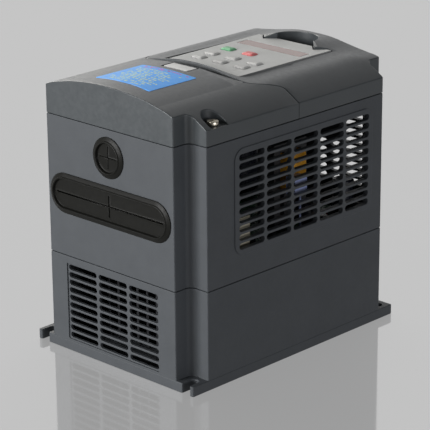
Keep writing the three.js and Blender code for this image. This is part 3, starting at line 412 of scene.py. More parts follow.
def refine(name):
    """Rounds the edges of a CAD node where it is shown, without touching its mesh."""
    obj = nodes[name]
    paint(obj, materials[slot_of[name]])
    weld = obj.modifiers.new("weld", "WELD")
    weld.merge_threshold = 0.00001
    flat = obj.modifiers.new("flat", "DECIMATE")
    flat.decimate_type = "DISSOLVE"
    flat.angle_limit = math.radians(0.4)
    bevel = obj.modifiers.new("bevel", "BEVEL")
    bevel.width = SOFTENED * MM
    bevel.segments = 2
    bevel.limit_method = "ANGLE"
    bevel.angle_limit = math.radians(SOFTENED_ANGLE)
    bevel.use_clamp_overlap = True
    shade(obj)


# ---- Casing
SIDE, END, WALL = 62.5, 84.0, 2.5
NOTCH_X, NOTCH_Y, NOTCH_FILLET, CORNER = 12.9, 11.9, 4.0, 0.8
FLAT_Y, FLAT_X = 67.0, 46.4  # how far the flat part of each wall reaches
PARTING = 0.35
BASE_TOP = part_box("base_housing")[1].z / MM
MIDDLE_BOTTOM = BASE_TOP + PARTING
COVER_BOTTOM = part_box("upper_cover")[0].z / MM
MIDDLE_TOP = COVER_BOTTOM - PARTING


def casing(inset):
    """The casing seen along Z, from the lower end of its +X wall. Each flat wall is one step."""
    side, end = SIDE - inset, END - inset
    corner = max(CORNER - inset, 0.05)
    fillet = NOTCH_FILLET + inset
    quarter = ([(side, FLAT_Y)]
               + arc(side - corner, end - NOTCH_Y - corner, corner, 0, 90, 4)
               + arc(side - NOTCH_X + fillet, end - NOTCH_Y + fillet, fillet, 270, 180, 10)
               + arc(side - NOTCH_X - corner, end - corner, corner, 0, 90, 4)
               + [(FLAT_X, end)])
    sides = [[(sx * x, sy * y) for x, y in quarter] for sx, sy in ((1, 1), (-1, 1), (-1, -1), (1, -1))]
    return sides[0] + sides[1][::-1] + sides[2] + sides[3][::-1]


QUARTER = len(casing(0)) // 4
WALLS = {  # the step of the outline that is each flat wall, and its own (u, v, height)
    "+Y": (QUARTER - 1, lambda u, v, h: (u, END + h, v)),
    "-X": (2 * QUARTER - 1, lambda u, v, h: (-SIDE - h, u, v)),
    "-Y": (3 * QUARTER - 1, lambda u, v, h: (u, -END - h, v)),
    "+X": (4 * QUARTER - 1, lambda u, v, h: (SIDE + h, u, v)),
}
FLAT = {"+X": yz, "-X": yz, "+Y": xz, "-Y": xz}


def walls(shape, outer, inner, features):
    """Walls between two rings outside and two inside; features gives each wall's outer and inner holes."""
    for (a, b), face in ((outer, 0), (inner, 1)):
        steps = {WALLS[key][0]: (FLAT[key], holes[face]) for key, holes in features.items()}
        for i in range(len(a)):
            j = (i + 1) % len(a)
            corners = [a[i], a[j], b[j], b[i]]
            if i in steps:
                flat, holes = steps[i]
                shape.fill([corners] + holes, flat)
            else:
                shape.face(corners)


def bank(u, v, columns, rows, pitch_u, pitch_v, length, height):
    """Slots in columns and rows about a middle."""
    us = [u + (c - (columns - 1) / 2) * pitch_u for c in range(columns)]
    vs = [v + (r - (rows - 1) / 2) * pitch_v for r in range(rows)]
    return [stadium(u, v, length, height, 7) for u in us for v in vs]


def vent(shape, wall, slots, frame_loop, rise, edge):
    """A raised or sunk panel with slots through it. Returns its holes in the wall's two faces."""
    place = WALLS[wall][1]
    if rise > 0:
        rim = shape.edge(frame_loop, turn(rise, edge) + [(0, 0)], place)
        around, panel = rim[-1], rim[0]
    else:
        rim = shape.edge(frame_loop[::-1], turn(0, edge) + [(0, rise)], place)
        around, panel = rim[0], rim[-1]
    through = [shape.edge(slot[::-1], turn(rise, 0.35) + [(0, -WALL)], place) for slot in slots]
    shape.fill([panel] + [rings[0] for rings in through], FLAT[wall])
    return [around], [rings[-1] for rings in through]


def pierce(shape, wall, loops, edge=0.3):
    """Holes through a flat wall. Returns their rings in its outer and in its inner face."""
    made = [shape.edge(loop[::-1], turn(0, edge) + [(0, -WALL)], WALLS[wall][1]) for loop in loops]
    return [rings[0] for rings in made], [rings[-1] for rings in made]


# Slots and grommets: the middle of each bank or hole, and their sizes.
SIDE_SLOTS = bank(5.9, 101.85, 5, 11, 21.8, 5.03, 20, 3.5)
END_SLOTS = bank(0, 101.85, 3, 11, 27.2, 5.03, 25.4, 3.5)
BASE_SLOTS = bank(0, 29.9, 3, 10, 24.3, 4.53, 22.5, 3.1)
ROUND_GROMMET = (0, 122.2, 23.6, 23.6)
OVAL_GROMMET = (0, 94.2, 95.0, 23.6)
GROMMET_LIP = 1.9
RIM = 0.35


def rims(top, bottom):
    """(inset, z) levels of the casing's wall, with a rounded rim at its top and at its bottom."""
    upper = [(RIM, top), (RIM * 0.3, top - RIM * 0.3), (0, top - RIM)]
    return upper + [(inset, top + bottom - z) for inset, z in reversed(upper)]


def panel_loop(slots, margin, radius):
    us = [u for slot in slots for u, v in slot]
    vs = [v for slot in slots for u, v in slot]
    return rounded(min(us) - margin, max(us) + margin, min(vs) - margin, max(vs) + margin, radius)


# Middle housing.
shape = Shape()
panels = {wall: vent(shape, wall, slots, panel_loop(slots, 3.4, 7.0), 0.6, 0.35)
          for wall, slots in (("+X", SIDE_SLOTS), ("-X", SIDE_SLOTS), ("+Y", END_SLOTS))}
panels["-Y"] = pierce(shape, "-Y", [
    stadium(u, v, length - 2 * GROMMET_LIP, height - 2 * GROMMET_LIP, 16)
    for u, v, length, height in (ROUND_GROMMET, OVAL_GROMMET)])
outer = [shape.ring(casing(inset), z) for inset, z in rims(MIDDLE_TOP, MIDDLE_BOTTOM)]
inner = [shape.ring(casing(WALL), z) for z in (MIDDLE_TOP, MIDDLE_BOTTOM)]
shape.loft(outer[:3])
shape.loft(outer[3:])
walls(shape, outer[2:4], inner, panels)
shape.strip(inner[0], outer[0])
shape.strip(inner[1], outer[-1])
piece("middle_shell", shape, "casing_plastic", "chassis", "middle_housing")

# Base housing: walls on a mounting plate whose corners are the feet.
FOOT_TOP, FLOOR = 5.8, 3.0
FOOT_X, FOOT_Y, FOOT_HOLE = 56.75, 77.5, 2.65
SCREW_X, SCREW_Y, WELL_RADIUS = 55.8, 62.0, 3.7
FAN_Z, GUARD_RADII, GUARD_HALF, SPOKE_HALF = 28.7, (7.6, 12.6, 17.6, 22.4), 1.6, 1.2
shape = Shape()
guard = []
for radius in GUARD_RADII:
    half = math.degrees(math.asin(SPOKE_HALF / radius))
    for start in (0, 90, 180, 270):
        first, last = start + half, start + 90 - half
        guard.append(arc(0, FAN_Z, radius + GUARD_HALF, first, last, 14)
                     + arc(0, FAN_Z, radius - GUARD_HALF, last, first, 14))
panels = {
    "-Y": vent(shape, "-Y", BASE_SLOTS, panel_loop(BASE_SLOTS, 0.9, 0.5), -0.8, 0.15),
    "+Y": pierce(shape, "+Y", guard, 0.4),
}
outer = [shape.ring(casing(inset), z) for inset, z in rims(BASE_TOP, FLOOR)[:3] + [(0, FOOT_TOP)]]
inner = [shape.ring(casing(WALL), z) for z in (BASE_TOP, FLOOR)]
shape.loft(outer[:3])
walls(shape, outer[2:4], inner, panels)
shape.strip(inner[0], outer[0])
shape.fill([inner[1]])


def foot_outline():
    """The mounting plate seen along Z, with an open slot in each foot at the cable end."""
    lip = 0.8
    slot = arc(FOOT_X, -FOOT_Y, FOOT_HOLE, 180, 0, 10)
    mouth = [(x, lip - END) for x in (FOOT_X - FOOT_HOLE, FOOT_X + FOOT_HOLE)]
    right = ([(mouth[0][0] - lip, -END), mouth[0]] + slot + [mouth[1], (mouth[1][0] + lip, -END)])
    left = [(-x, y) for x, y in reversed(right)]
    return left + right + rounded(-SIDE, SIDE, -END, END, 1, 4)


foot_holes = [circle(side * FOOT_X, FOOT_Y, FOOT_HOLE, 24) for side in (-1, 1)]
foot_sides = [shape.edge(loop, turn(FOOT_TOP, 0.5) + lower(0, 0.3))
              for loop in [foot_outline()] + [h[::-1] for h in foot_holes]]
shape.fill([rings[0] for rings in foot_sides] + [outer[3]])
wells = []
for sx in (-1, 1):
    for sy in (-1, 1):
        mouth = circle(sx * SCREW_X, sy * SCREW_Y, WELL_RADIUS, 24)
        well = shape.edge(mouth[::-1], [(0, 0), (0, FLOOR - 0.4)])
        shape.fill([well[-1]])
        wells.append(well[0])
shape.fill([rings[-1] for rings in foot_sides] + wells)
piece("base_shell", shape, "casing_plastic", "chassis", "base_housing")

# ---- Covers
CROWN_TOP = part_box("terminal_cover")[1].z / MM
ARCH_RADIUS, CREASE_X, SHOULDER_SLOPE, SHOULDER_RADIUS = 185.0, 38.0, 0.205, 50.2
SIDE_DIP = {"drop": 2.2, "inner": (10, 28.9), "outer": (30, 48), "front": (-24, -2), "fade": 0.65}
END_DIP = {"drop": 1.3, "along": (66, 84), "outer": (40, 50)}
SEAM_Y, SEAM_SIDE_Y, SEAM_BEND = -17.5, 0.5, (37.0, 52.5)


def crown(x):
    out = max(abs(x) - CREASE_X, 0.0)
    return (CROWN_TOP - min(abs(x), CREASE_X) ** 2 / (2 * ARCH_RADIUS) - SHOULDER_SLOPE * out
            - out ** 2 / (2 * SHOULDER_RADIUS))


def creased(x, y=0):
    """The terminal cover's crown, whose arch meets its shoulders in a soft crease."""
    return crown(x) - 0.3 * max(1 - abs(abs(x) - CREASE_X) / 10.0, 0.0) ** 2


def spread(start, end, step):
    """Numbers from start to end, about a step apart."""
    count = max(round((end - start) / step), 1)
    return [start + (end - start) * i / count for i in range(count + 1)]


def smooth(value, start, end):
    t = min(max((value - start) / (end - start), 0.0), 1.0)
    return t * t * (3 - 2 * t)


def upper_crown(x, y):
    """The upper cover's crown, which dips on both sides of the keypad and at the fan end."""
    rear = smooth(y, *END_DIP["along"])
    across = smooth(abs(x), *SIDE_DIP["inner"]) * (1 - smooth(abs(x), *SIDE_DIP["outer"]))
    along = smooth(y, *SIDE_DIP["front"]) * (1 - SIDE_DIP["fade"] * rear)
    end = rear * (1 - smooth(abs(x), *END_DIP["outer"]))
    return crown(x) - SIDE_DIP["drop"] * across * along - END_DIP["drop"] * end


def seam_y(x):
    return SEAM_Y + (SEAM_SIDE_Y - SEAM_Y) * smooth(abs(x), *SEAM_BEND)


def seam(shift, reach=SIDE):
    """The seam from -X to +X, moved along Y."""
    bend = spread(*SEAM_BEND, 1.03)
    xs = [x for x in [-reach] + [-b for b in reversed(bend)] + bend + [reach] if abs(x) <= reach]
    return [(x, seam_y(x) + shift) for x in xs]


CLEAR = 0.7  # the least distance of a grid point from the rings


def crown_fill(shape, rings, height, xs, ys):
    """Fills the area inside rings with a grid of columns that follows height(x, y)."""
    rim = [v for ring in rings for v in ring]
    points = [v.co.xy for v in rim]
    edges, first = [], 0
    for ring in rings:
        edges += [(first + i, first + (i + 1) % len(ring)) for i in range(len(ring))]
        first += len(ring)
    loops = [[tuple(v.co.xy) for v in ring] for ring in rings]
    grid = [(x, y) for x in xs for y in ys]
    near = np.array(points)
    clear = np.array([np.min(np.hypot(near[:, 0] - x, near[:, 1] - y)) > CLEAR for x, y in grid])
    kept = {}
    for index, (spot, good) in enumerate(zip(grid, inside(grid, loops) & clear)):
        if good:
            kept[index] = len(points)
            points.append(Vector(spot))
            if index % len(ys) and index - 1 in kept:
                edges.append((kept[index - 1], kept[index]))
    made = delaunay_2d_cdt(points, edges, [], 0, 1e-4)
    verts = []
    for co, origin in zip(made[0], made[3]):
        known = [i for i in origin if i < len(rim)]
        verts.append(rim[known[0]] if known else shape.bm.verts.new((co.x, co.y, height(co.x, co.y))))
    centres = [sum((made[0][i] for i in face), Vector((0, 0))) / len(face) for face in made[2]]
    for face, good in zip(made[2], inside([tuple(c) for c in centres], loops)):
        if good:
            shape.face([verts[i] for i in face])


def crown_edge(shape, loop, height, radius, steps=4):
    """Rings of a rounded edge round the crown, from its surface down to the vertical wall."""
    rings = []
    ways = normals_of(loop)
    for i in range(steps + 1):
        a = math.pi / 2 * i / steps
        ring = []
        for (x, y), n in zip(loop, ways):
            r = radius(x, y)
            px, py = x - n.x * r * (1 - math.sin(a)), y - n.y * r * (1 - math.sin(a))
            ring.append(shape.bm.verts.new((px, py, height(px, py) - r * (1 - math.cos(a)))))
        rings.append(ring)
    shape.loft(rings)
    return rings


def end_run(inset, end):
    """The casing's outline round its -Y (-1) or +Y (1) end. Its flat wall has many points, so that its
    top can follow the crown."""
    loop = casing(inset)
    good = [end * y > FLAT_Y + (0.1 if end < 0 else -0.1) for x, y in loop]
    start = next(i for i in range(len(loop)) if good[i] and not good[i - 1])
    run = [loop[(start + i) % len(loop)] for i in range(len(loop)) if good[(start + i) % len(loop)]]
    out = run[:1]
    for (x0, y0), (x1, y1) in zip(run, run[1:]):
        shares = spread(0, 1, COLUMN / max(abs(x1 - x0), COLUMN))[1:]
        out += [(x0 + (x1 - x0) * t, y0 + (y1 - y0) * t) for t in shares]
    return out


def cover_walls(shape, loop, top, inner_loop, inner_height):
    """The walls below a cover's edge, outside and inside. Returns the ring under its roof."""
    low = shape.ring(loop, COVER_BOTTOM + 0.3)
    rim = shape.ring(offset(loop, -0.3), COVER_BOTTOM)
    shape.loft([top, low, rim])
    inner_low = shape.ring(inner_loop, COVER_BOTTOM)
    inner_top = [shape.bm.verts.new((x, y, inner_height(x, y))) for x, y in inner_loop]
    shape.strip(inner_low, inner_top)
    shape.fill([rim, inner_low])
    return inner_top


COLUMN = 2.5
COLUMNS = spread(-60, 60, COLUMN)
CREASE_COLUMNS = sorted(COLUMNS + [s * (CREASE_X + d) for s in (-1, 1) for d in (-0.6, 0.0, 0.6)])
POCKET_X, POCKET_Y, POCKET_RADIUS, POCKET_FLOOR, POCKET_REACH = 56.8, -61.5, 6.5, 147.2, 9.5
POCKET_MOUTH, POCKET_EASE, POCKET_BLEND = (61.5, 60.0, 58.5), (0.8, 1.6, 2.4, 3.2), 3.4
EDGE, SHARPEST = 0.5, 0.02
GAP = PARTING / 2
BADGE_HALF, BADGE_FRONT, BADGE_BACK, BADGE_SINK, BADGE_MARGIN = 9.0, -32.4, -24.2, 0.6, 1.1


def side_run(sign):
    """The side wall from the notch to the seam, with the screw pocket cut into the crown."""
    front, back = POCKET_Y - POCKET_RADIUS, POCKET_Y + POCKET_RADIUS
    pocket = ([(x, front) for x in POCKET_MOUTH] + arc(POCKET_X, POCKET_Y, POCKET_RADIUS, 270, 90, 24)
              + [(x, back) for x in reversed(POCKET_MOUTH)])
    run = ([((SIDE, front - d), "wall") for d in reversed(POCKET_EASE)] + [((SIDE, front), "end")]
           + [(p, "pocket") for p in pocket] + [((SIDE, back), "end")]
           + [((SIDE, y), "wall") for y in [back + d for d in POCKET_EASE] + [-45, -30, -15]])
    return [((sign * x, y), kind) for (x, y), kind in (run if sign > 0 else reversed(run))]


def under_terminal(x, y):
    """The cover's inner face, which is lower round the screw pockets."""
    at_pocket = abs(x) > POCKET_X - POCKET_REACH and abs(y - POCKET_Y) < POCKET_REACH
    return (POCKET_FLOOR if at_pocket else crown(x)) - WALL


def terminal_radius(x, y):
    """The rounding of the cover's edge, which narrows towards the mouth of a screw pocket."""
    away = abs(y - POCKET_Y) - POCKET_RADIUS
    if abs(x) > SIDE - 1.2 and abs(away) < POCKET_BLEND:
        return SHARPEST + 0.45 * abs(away) / POCKET_BLEND
    if abs(x) > POCKET_X - POCKET_RADIUS - 0.1 and away < 0.05:
        return min(0.4, max((creased(x) - POCKET_FLOOR) * 0.5, SHARPEST))
    return EDGE


def terminal_height(x, y):
    if abs(x) > SIDE - 0.05 and abs(abs(y - POCKET_Y) - POCKET_RADIUS) < 0.05:
        return POCKET_FLOOR + SHARPEST
    return creased(x)


# Terminal cover.
shape = Shape()
kinds = dict([(p, "wall") for p in end_run(0, -1)] + side_run(1)
             + [(p, "wall") for p in reversed(seam(-GAP))] + side_run(-1))
loop = list(kinds)
rings = crown_edge(shape, loop, terminal_height, terminal_radius)
recess = rounded(-BADGE_HALF - BADGE_MARGIN, BADGE_HALF + BADGE_MARGIN, BADGE_FRONT - BADGE_MARGIN,
                 BADGE_BACK + BADGE_MARGIN, 0.8, 4)
recess_rings = crown_edge(shape, recess[::-1], creased, lambda x, y: 0.12, 2)
recess_low = [shape.bm.verts.new((x, y, crown(x) - BADGE_SINK)) for x, y in recess[::-1]]
shape.strip(recess_rings[-1], recess_low)
crown_fill(shape, [recess_low], lambda x, y: crown(x) - BADGE_SINK, spread(-10, 10, 2), [-28])
crown_fill(shape, [rings[0], recess_rings[0]], creased, CREASE_COLUMNS, spread(-82, -2, 8))
top_of = dict(zip(loop, rings[-1]))
wall_loop = [p for p in loop if kinds[p] != "pocket"]
wall_top = [top_of[p] if kinds[p] == "wall" else shape.bm.verts.new((*p, POCKET_FLOOR)) for p in wall_loop]
for sign in (-1, 1):
    chain = [p for p in loop if kinds[p] != "wall" and p[0] * sign > 0]
    under = shape.ring(chain, POCKET_FLOOR)
    shape.strip([top_of[p] for p in chain], under, closed=False)
    shape.fill([under])
inner_loop = end_run(WALL, -1) + seam(-GAP - WALL, SIDE - WALL)[::-1]
inner_top = cover_walls(shape, wall_loop, wall_top, inner_loop, under_terminal)
crown_fill(shape, [inner_top], under_terminal, sorted(COLUMNS[1:-1] + [-47.2, 47.2]),
           sorted(spread(-80, -24, 8) + [-71.1, -70.9, -52.1, -51.9]))
piece("terminal_cover_shell", shape, "cover_plastic", "terminal_cover", "terminal_cover")

# Upper cover, with the keypad's bay and the finger pocket behind it.
KEY_SIDE, KEY_FRONT, KEY_BACK, KEY_TOP = 28.2, -11.3, 66.2, 158.2
BAY_GAP, BAY_FLOOR, FINGER_FLOOR, BAY_SHEET = 0.7, 144.0, 147.5, 2.0
PLUG_HALF, PLUG_FRONT, PLUG_BACK = 8.8, 23.2, 36.8
GUIDE_X, GUIDE_HALF, GUIDE_DEPTH, TONGUE_LOW, TONGUE_RISE = 19.5, 5.8, 6.0, 158.4, 3.0
FINGER_Y, FINGER_RADIUS = 65.5, 14.4


def keypad_loop(grow, finger=False):
    """The keypad seen along Z with a V notch for each guide, grown for its bay. With finger, the bay
    and the finger pocket behind it, each point with its kind."""
    side, back, tip = KEY_SIDE + grow, KEY_BACK + grow, KEY_BACK - GUIDE_DEPTH + grow * math.sqrt(2)
    half = (back - tip) * GUIDE_HALF / GUIDE_DEPTH
    right = [(side, KEY_FRONT - grow), (side, back), (GUIDE_X + half, back), (GUIDE_X, tip)]
    left = [(-x, y) for x, y in reversed(right)]
    if finger:
        middle = arc(0, FINGER_Y, FINGER_RADIUS, 4.0, 176.0, 40)
        return [("bay", p) for p in right] + [("finger", p) for p in middle] + [("bay", p) for p in left]
    return right + [(GUIDE_X - half, back), (half - GUIDE_X, back)] + left


def guided(x, y):
    """The crown, cut down to a slope on the two tongues that point into the keypad's notches."""
    run = y - (KEY_BACK - GUIDE_DEPTH)
    slope = TONGUE_LOW + run * TONGUE_RISE / (GUIDE_DEPTH + BAY_GAP)
    on_tongue = (abs(abs(x) - GUIDE_X) < GUIDE_HALF + 0.3
                 and GUIDE_DEPTH - 7 < run < GUIDE_DEPTH + BAY_GAP + 0.05)
    return min(upper_crown(x, y), slope) if on_tongue else upper_crown(x, y)


def bay_inner(x, y):
    if abs(x) < KEY_SIDE + 2.8 and -14.0 < y < KEY_BACK + 2.8:
        return BAY_FLOOR - BAY_SHEET
    if math.hypot(x, y - FINGER_Y) < FINGER_RADIUS + 1.9:
        return FINGER_FLOOR - BAY_SHEET
    return upper_crown(x, y) - WALL


shape = Shape()
loop = seam(GAP) + [(SIDE, 20), (SIDE, 45)] + end_run(0, 1) + [(-SIDE, 45), (-SIDE, 20)]
rings = crown_edge(shape, loop, upper_crown, lambda x, y: EDGE)
bay = keypad_loop(BAY_GAP, finger=True)[::-1]
bay_rings = crown_edge(shape, [p for kind, p in bay], guided, lambda x, y: 0.35)
tongue_xs = [sign * x for sign in (-1, 1) for x in spread(13.5, 25.5, 0.6)]
crown_fill(shape, [rings[0], bay_rings[0]], guided, sorted(set(COLUMNS + tongue_xs)),
           sorted(set(spread(-16, 82, 4) + spread(60.6, 67.2, 0.5))))
step_ring = shape.ring([p for kind, p in bay], FINGER_FLOOR)
shape.strip(bay_rings[-1], step_ring)
fingers = [i for i, (kind, p) in enumerate(bay) if kind == "finger"]
shape.fill([[step_ring[i] for i in fingers]])
bay_low = [i for i in range(len(bay)) if i not in fingers[1:-1]]
floor_ring = shape.ring([bay[i][1] for i in bay_low], BAY_FLOOR)
shape.strip([step_ring[i] for i in bay_low], floor_ring)
hatch = rounded(-PLUG_HALF, PLUG_HALF, PLUG_FRONT, PLUG_BACK, 0.8, 3)[::-1]
hatch_top, hatch_low = shape.ring(hatch, BAY_FLOOR), shape.ring(hatch, BAY_FLOOR - BAY_SHEET)
shape.fill([floor_ring, hatch_top])
shape.strip(hatch_top, hatch_low)
inner_loop = seam(GAP + WALL, SIDE - WALL) + end_run(WALL, 1)
inner_top = cover_walls(shape, loop, rings[-1], inner_loop, bay_inner)
crown_fill(shape, [inner_top, hatch_low], bay_inner, sorted(COLUMNS[1:-1] + [-31.2, -30.9, 30.9, 31.2]),
           sorted(spread(-12, 68, 8) + [-14.2, -13.9, 68.9, 69.2, 72, 75, 78, 80.5]))
piece("upper_cover_shell", shape, "cover_plastic", "chassis", "upper_cover")

# Posts, screw bosses and board ledges inside the casing.
POST_IN, POST_HALF, POST_LOW, POST_TOP = 53.0, 3.5, 100.0, 144.3
BOSS_RADIUS, BOSS_HOLE, BOSS_TOP, BOSS_SEAT, BOSS_LOW = 4.5, 2.2, 74.0, 57.0, 12.0
LEDGE_IN, LEDGE_Y, LEDGE_HALF, LEDGE_LOW, LEDGE_TOP, SOFT = 45.5, 44.0, 4.0, 129.6, 133.2, 0.4


def rib(shape, inner, y, half, z0, z1):
    """A rib from x = inner to the side wall, with softened upright edges and a softened top."""
    x0, x1 = sorted((inner, math.copysign(SIDE - WALL + 0.2, inner)))
    outline = rounded(x0, x1, y - half, y + half, 2 * SOFT, 3)
    shape.solid(outline, [(0, z0), (0, z1 - SOFT), (-SOFT, z1)])


def boss(shape, x, y, z0, z1):
    """A round screw boss with its bore open at both ends."""
    outside = shape.edge(circle(x, y, BOSS_RADIUS, 32), [(0, z0), (0, z1 - SOFT), (-SOFT, z1)])
    bore = shape.edge(circle(x, y, BOSS_HOLE, 32), [(0, z0), (0, z1)])
    shape.fill([outside[0], bore[0]])
    shape.fill([outside[-1], bore[-1]])


shape, low = Shape(), Shape()
for sx in (-1, 1):
    rib(shape, sx * POST_IN, POCKET_Y, POST_HALF, POST_LOW, POST_TOP)
    for sy in (-1, 1):
        rib(shape, sx * LEDGE_IN, sy * LEDGE_Y, LEDGE_HALF, LEDGE_LOW, LEDGE_TOP)
        boss(shape, sx * SCREW_X, sy * SCREW_Y, MIDDLE_BOTTOM + 0.5, BOSS_TOP)
        boss(low, sx * SCREW_X, sy * SCREW_Y, BOSS_LOW, BOSS_SEAT)
piece("middle_posts", shape, "casing_plastic", "chassis", "middle_housing")
piece("base_bosses", low, "casing_plastic", "chassis", "base_housing")


# ---- Label and badge
def crown_sheet(loop, low, high, radius):
    """A thin sheet that follows the crown, between two heights above it."""
    shape = Shape()
    rings = crown_edge(shape, loop, lambda x, y: crown(x) + high, lambda x, y: radius, 2)
    under = [shape.bm.verts.new((x, y, crown(x) + low)) for x, y in loop]
    shape.strip(rings[-1], under)
    us = [x for x, y in loop]
    columns = spread(min(us), max(us), COLUMN)[1:-1]
    for ring, lift in ((rings[0], high), (under, low)):
        crown_fill(shape, [ring], lambda x, y: crown(x) + lift, columns, spread(-72, -26, 4))
    return shape


LABEL_HALF, LABEL_FRONT, LABEL_BACK, LABEL_LIFT, INK = 21.0, -72.7, -36.5, 0.15, 0.025
outline = rounded(-LABEL_HALF, LABEL_HALF, LABEL_FRONT, LABEL_BACK, 1.0, 4)
piece("label_sheet", crown_sheet(outline, 0.05, LABEL_LIFT, 0.03), "label_blue", "terminal_cover",
      "rating_label")
outline = rounded(-BADGE_HALF, BADGE_HALF, BADGE_FRONT, BADGE_BACK, 0.7, 4)
piece("badge", crown_sheet(outline, 0.05 - BADGE_SINK, 0.0, 0.15), "badge_grey", "terminal_cover",
      "badge_plate")


def dashes(name, rows, color, seed):
    """Rows of plain printed dashes of uneven length on the label, none of them a letter. A row is
    (y, start, end, thickness, longest dash, share left out)."""
    rng = random.Random(seed)
    shape = Shape(lambda u, v, h: (u, v, crown(u) + h))
    for y, start, end, thick, longest, broken in rows:
        x = start
        while x < end:
            length = min(rng.uniform(0.5, longest), end - x)
            if rng.random() > broken:
                wide = thick * rng.uniform(0.6, 1.0)
                drift = rng.uniform(-0.15, 0.15) * thick
                v0, v1 = y + drift - wide / 2, y + drift + wide / 2
                box = [(x, v0), (x + length, v0), (x + length, v1), (x, v1)]
                top, low = shape.ring(box, LABEL_LIFT + INK), shape.ring(box, LABEL_LIFT - INK)
                shape.face(top)
                shape.face(low[::-1])
                shape.strip(top, low)
            x += length + rng.uniform(0.35, 0.9)
    print_ink = moulded(name, color, 0.4, grain=0.2, depth=0.001)
    piece(name, shape, "label_blue", "terminal_cover", material=print_ink.material)


header = [(-39.0, -16.5, -1.5, 1.35, 1.9, 0.05), (-40.9, -15.5, 0.5, 1.35, 1.9, 0.08),
          (-39.6, 2.0, 17.5, 1.2, 2.4, 0.1)]
body_rows = [(-43.6 - 2.3 * i, -16.5 + 0.9 * (i % 3), 16.0 - 1.8 * (i % 4), 1.05, 2.8, 0.18)
             for i in range(12)]
dashes("label_header", header, (0.50, 0.07, 0.42), 5)
dashes("label_rows", body_rows, (0.55, 0.72, 0.38), 9)

# ---- Cover screws
def pan_screw(name, x, y, turned, body, node):
    """A pan-head screw with a cross recess that narrows to its floor."""
    seat, tip, head, height, shank = 147.3, 129.3, 3.4, 2.4, 1.75
    shape = Shape()
    centre, spin = Vector((x, y)), Matrix.Rotation(math.radians(turned), 2)
    arms = cross(0, 0, head * 0.56, head * 0.56, head * 0.13)
    slots = [tuple(centre + spin @ Vector(p)) for p in arms]
    crown_of_head = [(math.sqrt(max(1 - (k / 6) ** 2, 0.0)), k / 6) for k in range(5)]
    base, rise = seat + height * 0.35, height * 0.65
    profile = [(shank, tip), (shank, seat), (head - 0.08, seat), (head, seat + 0.1)]
    profile += [(head * (0.62 + 0.38 * wide), base + rise * up / 0.6667) for wide, up in crown_of_head]
    rings = [shape.ring(circle(x, y, radius), z) for radius, z in profile]
    shape.loft(rings)
    shape.fill([rings[0]])
    recess = shape.edge(slots[::-1], turn(seat + height, 0.06, 2))
    narrow = [tuple(centre.lerp(p, 0.55)) for p in slots[::-1]]
    floor = shape.ring(narrow, seat + height - head * 0.4)
    shape.strip(recess[-1], floor)
    shape.fill([floor])
    shape.fill([rings[-1], recess[0]])
    piece(name, shape, "screw_steel", body, node)


for side, name in ((-1, "left"), (1, "right")):
    pan_screw(f"cover_screw_{name}_head", side * POCKET_X, POCKET_Y, 24 * side, "terminal_cover",
              f"cover_screw_{name}")

# ---- Grommets
# (inset, height) profiles of a grommet's flanges, and of the bead along its slits.
FLANGE = [(2.15, 0.04), (0.25, 0.04), (0.05, 0.15), (0.0, 0.35), (0.2, 0.62), (1.9, 1.3), (2.25, 1.42),
          (2.45, 1.75), (2.8, 1.98), (3.15, 1.88), (3.35, 1.5), (3.5, 0.9), (3.6, 0.5), (3.85, 0.3)]
BACK_FLANGE = [(2.15, -2.62), (1.0, -2.7), (0.75, -3.0), (0.75, -3.6), (1.0, -4.1), (2.9, -4.18),
               (3.3, -3.9), (3.6, -0.9)]
BEAD = [(0.75, 0.3), (0.5, 0.42), (0.28, 0.5), (0.1, 0.44), (0.0, 0.3), (0.0, -0.6)]


def grommet(name, u, v, length, height, slits, node):
    """A rubber grommet in the -Y wall, its membrane slit so that a cable can be pushed through."""
    shape = Shape(WALLS["-Y"][1])
    loop = stadium(u, v, length, height, 24) if length > height else circle(u, v, height / 2, 64)
    front = [shape.ring(offset(loop, -o), h) for o, h in FLANGE]
    back = [shape.ring(offset(loop, -o), h) for o, h in BACK_FLANGE]
    shape.loft(front)
    shape.loft(back)
    shape.strip(front[0], back[0])
    rings = [shape.ring(offset(cross(u, v, *slits)[::-1], -o), h) for o, h in BEAD]
    shape.loft(rings)
    shape.fill([front[-1], rings[0]], xz)
    shape.fill([back[-1], rings[-1]], xz)
    piece(name, shape, "grommet_rubber", "chassis", node, sharp=62)


grommet("grommet_round", *ROUND_GROMMET, (6.4, 6.4, 0.16), "round_grommet")
grommet("grommet_oval", *OVAL_GROMMET, (42.0, 6.2, 0.4), "oval_grommet")

# ---- Keypad
KEY_XS, KEY_YS = (-17.0, -0.4, 16.2), (4.5, 14.9, 28.5)
KEYS = {"key_run": (0, 2), "key_stop": (1, 2)}
KEYS |= {f"key_grey_{i + 1}": (i % 3, i // 3) for i in range(6)}
KEY_LONG, KEY_WIDE, KEY_SHOULDER, KEY_CAP = 8.4, 6.2, 158.4, 159.2
WINDOW = (-24.5, 24.5, 43.0, 52.2)
FACE_LOW, LENS_LOW = KEY_TOP - 0.6, 155.9


def key_loop(x, y, grow):
    return rounded(x - KEY_LONG / 2 - grow, x + KEY_LONG / 2 + grow, y - KEY_WIDE / 2 - grow,
                   y + KEY_WIDE / 2 + grow, 1.5 + grow, 5)


